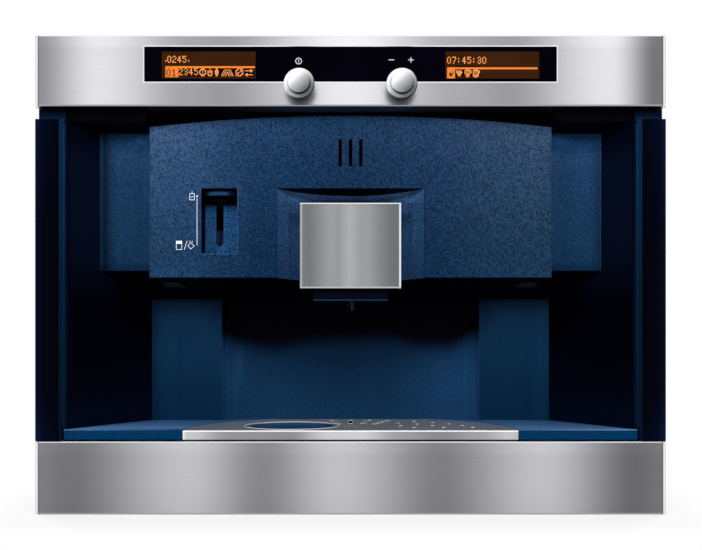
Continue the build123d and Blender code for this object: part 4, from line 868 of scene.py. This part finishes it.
# ------------------------------------------------------------------ knobs
# Two turned aluminium knobs, satin all over, each with a slightly domed cap set in its rim behind a fine
# groove. Their light and shade are painted: each face is coloured by how far it turns towards the lamp,
# with painted shade in the groove and on the neck. They are pushed and turned, and a stem holds each in
# its sleeve.
knob_low, knob_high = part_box("right_knob")
knob_x = (knob_low.x + knob_high.x) / 2
knob_z = (knob_low.z + knob_high.z) / 2
knob_front = knob_low.y
knob_radius = (knob_high.x - knob_low.x) / 2
knob_rear = -0.0252
stem_rear = knob_high.y
stem_radius = 0.003
neck_radius = 0.0114
waist = knob_front + 0.0085
rim_face = knob_front + 0.0044
rim_slope = 0.0008
cap_radius = 0.0102
cap_chamfer = 0.0004
knob_edge = 0.0007
groove_width = 0.0004
groove_floor = rim_face + 0.0012
knob_steps = 96
sharp_from = 28
towards_lamp = (-0.64, 0.0, 0.77)


def lathe(name, centre_x, centre_z, profile, steps):
    """A closed turned body about a line along y, from (y, radius) points that end on the axis."""
    turned = bmesh.new()
    rows = []
    for y, radius in profile:
        if radius == 0.0:
            rows.append([turned.verts.new((centre_x, y, centre_z))])
            continue
        angles = [2 * math.pi * k / steps for k in range(steps)]
        rows.append([turned.verts.new((centre_x + radius * math.cos(a), y,
            centre_z + radius * math.sin(a))) for a in angles])
    for first, second in zip(rows, rows[1:]):
        for k in range(steps):
            corners = [first[k % len(first)], second[k % len(second)], second[(k + 1) % len(second)],
                first[(k + 1) % len(first)]]
            turned.faces.new(list(dict.fromkeys(corners)))
    bmesh.ops.recalc_face_normals(turned, faces=turned.faces)
    for face in turned.faces:
        face.smooth = True
    mesh = baked(name, turned)
    mesh.set_sharp_from_angle(angle=math.radians(sharp_from))
    return mesh


dome_steps = 6
cap_rise = 0.0012
dome = [(knob_front + cap_rise * (k / dome_steps) ** 2, (cap_radius - cap_chamfer) * k / dome_steps)
    for k in range(dome_steps, -1, -1)]
knob_profile = [(stem_rear, 0.0), (stem_rear, stem_radius), (knob_rear, stem_radius),
    (knob_rear, neck_radius), (waist, neck_radius), (waist, knob_radius - knob_edge / 2),
    (waist - knob_edge / 2, knob_radius), (rim_face + rim_slope + knob_edge, knob_radius),
    (rim_face + rim_slope, knob_radius - knob_edge), (rim_face, cap_radius + groove_width),
    (groove_floor, cap_radius + groove_width), (groove_floor, cap_radius),
    (knob_front + cap_rise + cap_chamfer, cap_radius)] + dome
knob_paint, shader, (vector, x, y, z) = new_material("satin_aluminium", Metallic=0.25,
    Specular_IOR_Level=0.1)
facing = add_node(vector.id_data, "ShaderNodeNewGeometry").outputs["Normal"]
# painted light and shade: the colour follows how far each face turns towards the lamp
lean = node_after("ShaderNodeVectorMath", {0: facing, 1: towards_lamp}, operation="DOT_PRODUCT")
painted_lamp_shade = spread(lean.outputs["Value"], [(-1.0, 30, 30, 30), (-0.60, 38, 38, 38), (-0.45, 58, 58, 58),
    (-0.22, 112, 113, 117), (0.0, 176, 177, 181), (0.16, 236, 236, 236), (0.45, 236, 236, 236),
    (0.75, 190, 190, 190), (1.0, 206, 206, 206)])
turned = noise(vector, 2200.0, 1.0)
colour = times(painted_lamp_shade, scaled(turned, 0.95, 1.05))
# painted shade on the neck and stem behind the rim
colour = lined(colour, y, (waist + 0.0002, cad_high.y, 0.0002, 58, 59, 63))
# painted shade: the groove round the cap is coloured dark
groove_shade = stripe(y, rim_face + 0.0003, groove_floor + 0.0001, 0.0002)
off_x = calc("SUBTRACT", calc("ABSOLUTE", x), knob_x)
off_z = calc("SUBTRACT", z, knob_z)
radial = from_axis(off_x, off_z)
inside = stripe(radial, cap_radius - 0.0001, cap_radius + groove_width + 0.0001, 0.0001)
# painted shade: cap and rim darker away from the lamp
aside = calc("SUBTRACT", x, product(calc("SIGN", x), knob_x))
from_lamp = calc("SUBTRACT", aside, off_z)
cap_painted_shade = spread(from_lamp, [(-0.017, 1.0), (-0.006, 1.0), (0.004, 0.86), (0.013, 0.64)])
rim_painted_shade = spread(from_lamp, [(-0.017, 1.0), (0.004, 1.0), (0.017, 0.80)])
on_cap = stripe(radial, -0.001, cap_radius, 0.0001)
colour = times(colour, mix_colour(on_cap, rim_painted_shade, cap_painted_shade))
colour = mix_colour(product(groove_shade, inside), colour, tone(40, 41, 46))
dress(shader, colour, turned, (0.34, 0.46))
for name, side in (("left", -1), ("right", 1)):
    knob_mesh = lathe(f"{name}_turned_knob", side * knob_x, knob_z, knob_profile, knob_steps)
    piece = new_piece(f"{name}_turned_knob", knob_mesh, f"{name}_dial", knob_paint)
    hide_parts(f"{name}_knob")

black_paint = moulding("black_plastic", lambda x, y, z: spread(z,
    [(0.0, 22, 23, 26), (0.45, 27, 28, 31)]))
paint(black_paint, "power_inlet", "knob_encoders", "left_sleeve", "right_sleeve", "spout_guide",
    "power_supply", "pump", "brew_group")
# painted light and shade in the lever slot: near black above, lit blue below
guide_paint = moulding("guide_plastic", lambda x, y, z: spread(z,
    [(0.2735, 42, 52, 84), (0.2765, 3, 3, 8)]), level=0.0)
paint(guide_paint, "lever_guide")
board_paint = moulding("solder_mask", lambda x, y, z: spread(x, [(-0.2, 20, 84, 50), (0.2, 24, 92, 56)]))
paint(board_paint, "control_board")

# ------------------------------------------------------------------ brew head
# One large blue cover, arched at its top, with a finger scoop round the spout, three cooling slots and
# the recess of the release lever. It has the same texture, and painted light falls off down its face,
# with painted shade in its hollows and slots.
head_low, head_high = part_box("head_cover")
head_inside = head_low.y + 0.0012
scoop_half = 0.0735
head_half = 0.1935
vent_pitch, vent_half, vent_reach, vent_z = 0.00985, 0.0015, 0.01295, head_low.z + 0.1207
head_arch = 0.0111
recess_low_x, recess_high_x = -0.1426, -0.1092
recess_low_z, recess_high_z = 0.2485, 0.3110


def head_colour(x, y, z):
    """Brew head in painted light and shade: darker in the middle and lower down, with painted light
    and shade in the scoop and the recess, painted highlights on the recess's edges and near black
    in the slots and along the bottom.
    """
    # painted light from the sides: the face lighter towards both ends
    face = spread(x, [(-0.188, 56, 83, 120), (-0.169, 56, 83, 120), (-0.150, 54, 81, 118),
        (-0.121, 43, 70, 106), (-0.092, 34, 61, 97), (-0.063, 31, 60, 94), (-0.049, 30, 57, 91),
        (0.0, 29, 55, 88), (0.047, 33, 59, 92), (0.086, 37, 61, 95), (0.124, 47, 70, 102),
        (0.153, 50, 73, 103), (0.172, 52, 74, 105), (0.188, 51, 73, 103)])
    # painted light falling off down the face
    painted_falloff = spread(z, [(0.224, 0.180, 0.390, 0.440, 1), (0.2343, 0.225, 0.375, 0.405, 1),
        (0.2516, 0.255, 0.385, 0.412, 1), (0.2756, 0.325, 0.437, 0.465, 1),
        (0.2948, 0.400, 0.495, 0.520, 1), (0.3189, 0.477, 0.554, 0.578, 1),
        (0.3381, 0.545, 0.594, 0.610, 1), (0.3573, 0.690, 0.684, 0.675, 1),
        (0.3815, 0.690, 0.684, 0.675, 1)])
    colour = times(face, painted_falloff)
    # painted shadow of the top fascia just under the arch
    arch = product(product(x, x), -head_arch / head_half ** 2)
    under_edge = calc("SUBTRACT", calc("ADD", arch, head_high.z), z)
    colour = times(colour, spread(under_edge, [(0.0, 0.45), (0.003, 0.8), (0.009, 1.0)]))
    # painted highlights along the bottom edge and the right edge of the lever's recess
    recess_bottom_highlight = product(stripe(z, recess_low_z - 0.0010, recess_low_z - 0.0004, 0.0002),
        stripe(x, recess_low_x, recess_high_x, 0.0004))
    recess_side_highlight = product(stripe(z, recess_low_z, recess_high_z, 0.0004),
        stripe(x, recess_high_x + 0.0004, recess_high_x + 0.0010, 0.0002))
    colour = mix_colour(calc("MAXIMUM", recess_bottom_highlight, recess_side_highlight), colour, tone(46, 76, 114))
    # painted light in the scoop: lighter near its ceiling and beside the plate
    within = stripe(y, head_inside, cad_high.y, 0.0003)
    scoop = product(within, stripe(calc("ABSOLUTE", x), -0.01, scoop_half, 0.0002))
    scoop_shade = spread(z, [(0.224, 24, 46, 75), (0.27, 32, 61, 95), (0.298, 34, 63, 98),
        (0.309, 62, 96, 140)])
    out = calc("ABSOLUTE", x)
    beside_plate = spread(out, [(0.045, 2.4), (0.0570, 2.4), (0.0600, 1.4), (0.0640, 1.0)])
    near_ceiling = spread(out, [(0.045, 1.9), (0.052, 1.5), (0.058, 1.0), (0.064, 0.7), (0.0735, 0.55)])
    at_ceiling = share_of(z, 0.300, 0.307)
    below_it = share_of(z, 0.292, 0.272)
    scoop_shade = times(scoop_shade, mix_colour(below_it, grey(1.0), beside_plate),
        mix_colour(at_ceiling, grey(1.0), near_ceiling))
    colour = mix_colour(scoop, colour, scoop_shade)
    # painted shade in the lever recess: its side wall near black, and a painted shadow under the lever
    recess = product(within, stripe(x, -0.16, -0.1, 0.0002))
    shaded_wall = stripe(object_axes(x.id_data, "Normal")[1], 0.5, 1.5, 0.2)
    floor_shade = spread(z, [(0.250, 37, 78, 123), (0.290, 30, 70, 112), (0.2975, 22, 56, 94),
        (0.2995, 3, 4, 12)])
    recess_shade = mix_colour(shaded_wall, floor_shade, tone(2, 2, 9))
    colour = mix_colour(recess, colour, recess_shade)
    # painted shade: the three cooling slots near black
    beside_middle = calc("ABSOLUTE", calc("SUBTRACT", out, vent_pitch))
    vent_shade = calc("MAXIMUM", stripe(out, -0.001, vent_half, 0.0003),
        stripe(beside_middle, -0.001, vent_half, 0.0003))
    vent_shade = product(vent_shade, stripe(z, vent_z - vent_reach, vent_z + vent_reach, 0.0003))
    colour = mix_colour(vent_shade, colour, tone(2, 2, 6))
    # painted shade: a near-black band along the bottom of the head
    return lined(colour, z, (0.20, 0.2247, 0.0002, 3, 4, 10))


lever_low, lever_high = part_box("release_lever")
paint(moulding("head_moulding", head_colour, grain=640.0, speckle=(0.52, 1.62)), "head_cover")


def lever_colour(x, y, z):
    """Release lever: dark, with a painted highlight along its front edge."""
    edge = stripe(z, lever_high.z - 0.0048, lever_high.z - 0.0022, 0.0008)
    edge = product(edge, stripe(x, lever_low.x + 0.007, lever_high.x - 0.010, 0.004))
    return mix_colour(edge, tone(6, 14, 32), tone(25, 53, 89))


paint(moulding("lever_moulding", lever_colour), "release_lever")

# printed signs beside the lever: open and shut, and the path of the lever between them
lever_signs = bmesh.new()
sign_face = head_low.y - 0.00006
thin_stroke = 0.0005
half_stroke = thin_stroke / 2
path_x, path_low, path_high = -0.1475, 0.2560, 0.3013
upright_bar(lever_signs, path_x, half_stroke, path_low, path_high, sign_face)
ring_faces(lever_signs, (path_x, 0.3032), 0.0, 0.0008, 12, sign_face)


def outline_faces(sheet, x0, x1, z0, z1, width, y):
    """Four flat bars round a rectangle, added to a bmesh."""
    bar_faces(sheet, x0, x1, z0, z0 + width, y)
    bar_faces(sheet, x0, x1, z1 - width, z1, y)
    bar_faces(sheet, x0, x0 + width, z0 + width, z1 - width, y)
    bar_faces(sheet, x1 - width, x1, z0 + width, z1 - width, y)


lock_x, lock_half, lock_low, lock_high = -0.1523, 0.0025, 0.2995, 0.3059
outline_faces(lever_signs, lock_x - lock_half, lock_x + lock_half, lock_low, lock_high, thin_stroke,
    sign_face)
upright_bar(lever_signs, lock_x, half_stroke, lock_high, lock_high + 0.0022, sign_face)
upright_bar(lever_signs, lock_x, 0.0012, 0.3024, 0.3029, sign_face)
pot_low_x, pot_high_x, pot_low, pot_high = -0.1677, -0.1619, 0.2518, 0.2604
outline_faces(lever_signs, pot_low_x, pot_high_x, pot_low, pot_high - 0.0024, thin_stroke, sign_face)
bar_faces(lever_signs, pot_low_x, pot_high_x, pot_high - 0.0024, pot_high, sign_face)
lever_signs.faces.new([lever_signs.verts.new((x, sign_face, z)) for x, z in ((-0.1601, pot_low),
    (-0.1596, pot_low), (-0.1568, pot_high), (-0.1573, pot_high))])
capsule_x, capsule_z, capsule_reach = -0.1533, 0.2556, 0.0034
ring_faces(lever_signs, (capsule_x, capsule_z), capsule_reach - 0.0007, capsule_reach, 4, sign_face)
for x in (capsule_x - 0.0012, capsule_x + 0.0012):
    upright_bar(lever_signs, x, 0.0003, capsule_z + capsule_reach, pot_high, sign_face)
light_print = mottled("printed_pale_blue", 2600.0, 1.0, (205, 214, 232), (228, 234, 246), (0.5, 0.7))
sign_mesh = facing_front("lever_signs", lever_signs)
new_piece("lever_signs", sign_mesh, "brew_drawer", light_print)

# ------------------------------------------------------------------ spout
# A folded steel plate over a nearly black moulding that slides down with the nozzle under its bar.
# The plate's bands and edge lines, the moulding's edge and the nozzle's glint are painted light.
plate_low, plate_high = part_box("spout_plate")
plate_paint, shader, (vector, x, _, z) = new_material("spout_plate_steel", Metallic=1.0)
grain = brushed(vector, 0.03, 3600.0, 600.0)
# painted reflection bands across the brushed plate, with painted highlights on its bevelled ends
colour = spread(x, [(at, level, level + 1, level + 4) for at, level in ((-0.0485, 176), (-0.0468, 172),
    (-0.0455, 122), (-0.0389, 120), (-0.0198, 158), (-0.0115, 153), (-0.0007, 176), (0.0090, 158),
    (0.0184, 155), (0.0280, 135), (0.0375, 118), (0.0440, 112), (0.0462, 116), (0.0468, 236),
    (0.0485, 244))])
colour = times(colour, scaled(grain["Scratch"], 0.85, 1.15))
# painted highlights along the top and bottom folds, and a painted dark line of shade under the bottom
# edge
colour = lined(colour, z, (plate_high.z - 0.0012, plate_high.z, 0.0003, 242, 242, 245),
    (plate_low.z + 0.0006, plate_low.z + 0.0016, 0.0003, 192, 193, 198),
    (plate_low.z - 0.001, plate_low.z + 0.0001, 0.0003, 24, 28, 40))
dress(shader, colour, grain["Scratch"], (0.24, 0.42), brushed_relief)
paint(plate_paint, "spout_plate")
body_low, body_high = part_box("spout_body")


def spout_colour(x, y, z):
    """Spout body: nearly black and darker towards the bottom, with a thin painted highlight along its
    bottom and its right side.
    """
    colour = spread(z, [(0.19, 4, 5, 13), (0.30, 8, 14, 28)])
    edge = calc("MAXIMUM", stripe(z, body_low.z - 0.001, body_low.z + 0.0008, 0.0002),
        stripe(x, body_high.x - 0.0008, body_high.x + 0.001, 0.0002))
    return mix_colour(edge, colour, tone(22, 52, 88))


paint(moulding("spout_moulding", spout_colour, level=0.01), "spout_body")
chrome_paint, shader, (vector, *_) = new_material("polished_steel", Metallic=1.0)
# painted reflection: a dark nozzle with a painted glint on faces turned one way
across = object_axes(vector.id_data, "Normal")[1]
colour = spread(across, [(-1.0, 4, 4, 10), (0.05, 5, 6, 13), (0.22, 36, 41, 48), (0.40, 10, 14, 22),
    (1.0, 6, 7, 14)])
smear = noise(vector, 300.0, 1.0)
dress(shader, times(colour, scaled(smear, 0.9, 1.1)), smear, (0.1, 0.2))
paint(chrome_paint, "spout_nozzle")

# ------------------------------------------------------------------ drip tray
# A blue tray with a ribbed deck, a round-fronted steel cup plate sunk into it, and a dished rest in the
# plate's ring. The plate's holes are pressed with a small raised rim.
tray_low, tray_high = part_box("drip_tray")
rest_low, rest_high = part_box("cup_rest")
cup_low, cup_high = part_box("cup_plate")
lip_rear = tray_low.y + 0.0052


def tray_colour(x, y, z):
    """Tray in painted light and shade: a front lip painted dark with a painted highlight along its top,
    and a deck painted lighter at the front and on the left.
    """
    lip_highlight = by_side(x, [(0.16, 16, 62, 104), (0.25, 66, 104, 146)],
        [(0.16, 62, 96, 136), (0.25, 88, 118, 160)])
    lip = mix_colour(stripe(z, tray_high.z - 0.0007, tray_high.z + 0.001, 0.0004), tone(3, 46, 82),
        lip_highlight)
    # painted light on the deck: lighter at the front and on the left
    deck = spread(y, [(-0.012, 90, 129, 176), (0.03, 64, 103, 148), (0.127, 39, 77, 121)])
    deck = times(deck, by_side(x, [(0.15, 1.0), (0.25, 1.15)], [(0.15, 1.0), (0.25, 0.85)]))
    return mix_colour(stripe(y, cad_low.y, lip_rear, 0.0003), deck, lip)


paint(moulding("tray_moulding", tray_colour, grain=700.0), "drip_tray")

rest_x = (rest_low.x + rest_high.x) / 2
rest_y = (rest_low.y + rest_high.y) / 2


def rest_colour(x, y, z):
    """Cup rest: blue, with painted highlights on the edges of its rings."""
    out = from_axis(calc("SUBTRACT", x, rest_x), calc("SUBTRACT", y, rest_y))
    return spread(out, [(0.0, 30, 66, 104), (0.033, 34, 72, 112), (0.0343, 92, 128, 166),
        (0.0352, 20, 46, 78), (0.0424, 24, 54, 88), (0.0434, 104, 138, 174), (0.0444, 38, 74, 112),
        (0.047, 48, 84, 122)])


paint(moulding("rest_moulding", rest_colour, grain=700.0), "cup_rest")

cup_paint, shader, (vector, x, y, z) = new_material("cup_plate_steel")
grain = brushed(vector, 0.03, 3000.0, 300.0)
# painted reflection bands along the plate's front lip
lip_reflection_bands = spread(x, [(at, level, level + 1, level + 3) for at, level in ((-0.159, 236), (-0.1575, 236),
    (-0.1560, 205), (-0.152, 200), (-0.114, 150), (-0.0575, 145), (-0.0196, 205), (0.0088, 208),
    (0.0466, 160), (0.0844, 139), (0.1223, 163), (0.1507, 197), (0.159, 190))], "EASE")
front = stripe(z, cad_low.z, cup_high.z - 0.0012, 0.0002)
# painted highlight along the plate's front top edge
edge = stripe(z, cup_high.z - 0.0011, cup_high.z - 0.0003, 0.0003)
edge = product(edge, stripe(y, cad_low.y, cup_low.y + 0.0011, 0.0003))
colour = mix_colour(front, tone(158, 161, 165), lip_reflection_bands)
feed(shader.inputs["Metallic"], scaled(front, 0.3, 1.0))
colour = mix_colour(edge, colour, tone(250, 250, 252))
colour = times(colour, scaled(grain["Scratch"], 0.88, 1.12))
dress(shader, colour, grain["Scratch"], (0.25, 0.42), brushed_relief)
paint(cup_paint, "cup_plate")

# rims of the drain holes and slots and of the cup ring, rolled up from the plate
well_y = -0.010
first_ring, ring_step, ring_count, ring_hole_pitch = 0.067, 0.028, 3, 0.024
slot_fan, slot_turn, slot_ring, slot_reach = 4, 10.0, 0.096, 0.050
hole_radius = 0.0016
rim_stroke = 0.0005
ring_radius, ring_stroke = 0.0475, 0.0008
plate_edge = cup_low.y + 0.0015
hole_spots = []
for ring in range(ring_count):
    radius = first_ring + ring * ring_step
    step = ring_hole_pitch / radius
    for k in range(int(math.radians(90 - (slot_fan - 1) * slot_turn) / step) + 1):
        spot = (radius * math.cos(k * step), well_y + radius * math.sin(k * step), cup_high.z)
        if spot[1] > plate_edge + 0.008:
            hole_spots.append(spot)


def rolled_bead(path, stroke):
    """A round bead along a closed path, as the last part of a tree."""
    bead = value_of("GeometryNodeCurvePrimitiveCircle", {"Resolution": 8, "Radius": product(stroke, 0.5)})
    return value_of("GeometryNodeCurveToMesh", {"Curve": path, "Profile Curve": bead})


rim_tree, takes = new_geometry("hole_rims", "Hole Radius", "Stroke")
circle = value_of("GeometryNodeCurvePrimitiveCircle", {"Resolution": 24,
    "Radius": calc("ADD", takes["Hole Radius"], takes["Stroke"])})
scatter(takes, rolled_bead(circle, takes["Stroke"]))
slot_tree, takes = new_geometry("slot_rims", "Length", "Width", "Stroke", turned=True)
oblong = value_of("GeometryNodeCurvePrimitiveQuadrilateral", {"Width": takes["Length"],
    "Height": takes["Width"]})
scatter(takes, rolled_bead(oblong, takes["Stroke"]))
# real rolled rims, coloured near white as a painted highlight
rim_highlight_paint = mottled("rolled_rim_highlight", 700.0, 2.0, (214, 216, 220), (244, 245, 248), (0.18, 0.34),
    Metallic=0.4)
rim_meshes = [grow("hole_rims", rim_tree, hole_spots, {"Hole Radius": hole_radius, "Stroke": rim_stroke,
    "Finish": rim_highlight_paint}), grow("ring_rim", rim_tree, [(rest_x, rest_y, cup_high.z)],
    {"Hole Radius": ring_radius, "Stroke": ring_stroke, "Finish": rim_highlight_paint})]
for k in range(slot_fan):
    along = math.radians(90.0 - (k - 1) * slot_turn)
    spot = (slot_ring * math.cos(along), well_y + slot_ring * math.sin(along), cup_high.z)
    rim_meshes.append(grow("slot_rim", slot_tree, [spot], {"Length": slot_reach + 2 * rim_stroke,
        "Width": 2 * (hole_radius + rim_stroke), "Stroke": rim_stroke, "Turn": (0.0, 0.0, along),
        "Finish": rim_highlight_paint}))
rim_mesh = joined("drain_rims", rim_meshes)
for face in rim_mesh.polygons:
    face.use_smooth = True
new_piece("drain_rims", rim_mesh, "tray")

# ------------------------------------------------------------------ works in the drawer
# Bright zinc runners, a cast heater and motor, a clear water tank, grey plastic round the capsules,
# and the capsules themselves, stacked in the flutes of the magazine.
paint(mottled("bright_zinc", 60.0, 2.0, (190, 192, 196), (206, 208, 212), (0.25, 0.4), Metallic=1.0),
    "drawer_rails", "fixed_runners")
paint(mottled("cast_aluminium", 700.0, 3.0, (176, 176, 176), (204, 204, 204), relief=(0.4, 0.0002),
    Metallic=1.0, Roughness=0.5), "thermoblock", "magazine_motor")
paint(mottled("clear_tank", 20.0, 1.0, (170, 190, 205), (184, 202, 216), Roughness=0.08, Alpha=0.45),
    "water_tank")
paint(moulding("grey_plastic", lambda x, y, z: spread(z, [(0.22, 120, 124, 130), (0.36, 128, 132, 138)])),
    "capsule_bin", "magazine_base", "capsule_magazine")

magazine_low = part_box("capsule_magazine")[0]
magazine_x, magazine_y = 0.0, 0.165
flute_circle, flute_number, stack_number = 0.0425, 5, 3
capsule_rim, capsule_foot, capsule_height, collar_height = 0.0160, 0.0110, 0.0270, 0.0008
stack_clearance = 0.0010
stack_pitch = capsule_height + 0.0025
capsule_spots = []
for k in range(flute_number):
    angle = math.radians(-90 + 360 * k / flute_number)
    flute_x, flute_y = magazine_x + flute_circle * math.cos(angle), magazine_y + flute_circle * math.sin(
        angle)
    capsule_spots += [(flute_x, flute_y, magazine_low.z + stack_clearance + level * stack_pitch)
        for level in range(stack_number)]
capsule_tree, takes = new_geometry("capsules", "Rim Radius", "Foot Radius", "Height")
cup = value_of("GeometryNodeMeshCone", {"Vertices": 32, "Side Segments": 2,
    "Radius Bottom": product(takes["Rim Radius"], 0.88), "Radius Top": takes["Foot Radius"],
    "Depth": takes["Height"]}, fill_type="NGON")
collar = value_of("GeometryNodeMeshCylinder", {"Vertices": 32, "Radius": takes["Rim Radius"],
    "Depth": collar_height}, fill_type="NGON")
collar = value_of("GeometryNodeTransform", {"Geometry": collar, "Translation": (0.0, 0.0,
    collar_height / 2)})
scatter(takes, cup, collar)
capsule_paint, shader, (vector, _, _, z) = new_material("anodised_capsule", Metallic=1.0)
height = calc("FRACT", calc("DIVIDE", calc("SUBTRACT", z, magazine_low.z), stack_pitch))
colour = spread(height, [(0.0, 206, 204, 200), (0.04, 206, 204, 200), (0.06, 150, 96, 52),
    (1.0, 120, 70, 36)])
smear = noise(vector, 500.0, 2.0)
dress(shader, times(colour, scaled(smear, 0.9, 1.1)), smear, (0.28, 0.42))
capsule_mesh = grow("stacked_capsules", capsule_tree, capsule_spots,
    {"Rim Radius": capsule_rim, "Foot Radius": capsule_foot, "Height": capsule_height,
    "Finish": capsule_paint})
new_piece("stacked_capsules", capsule_mesh, "magazine")
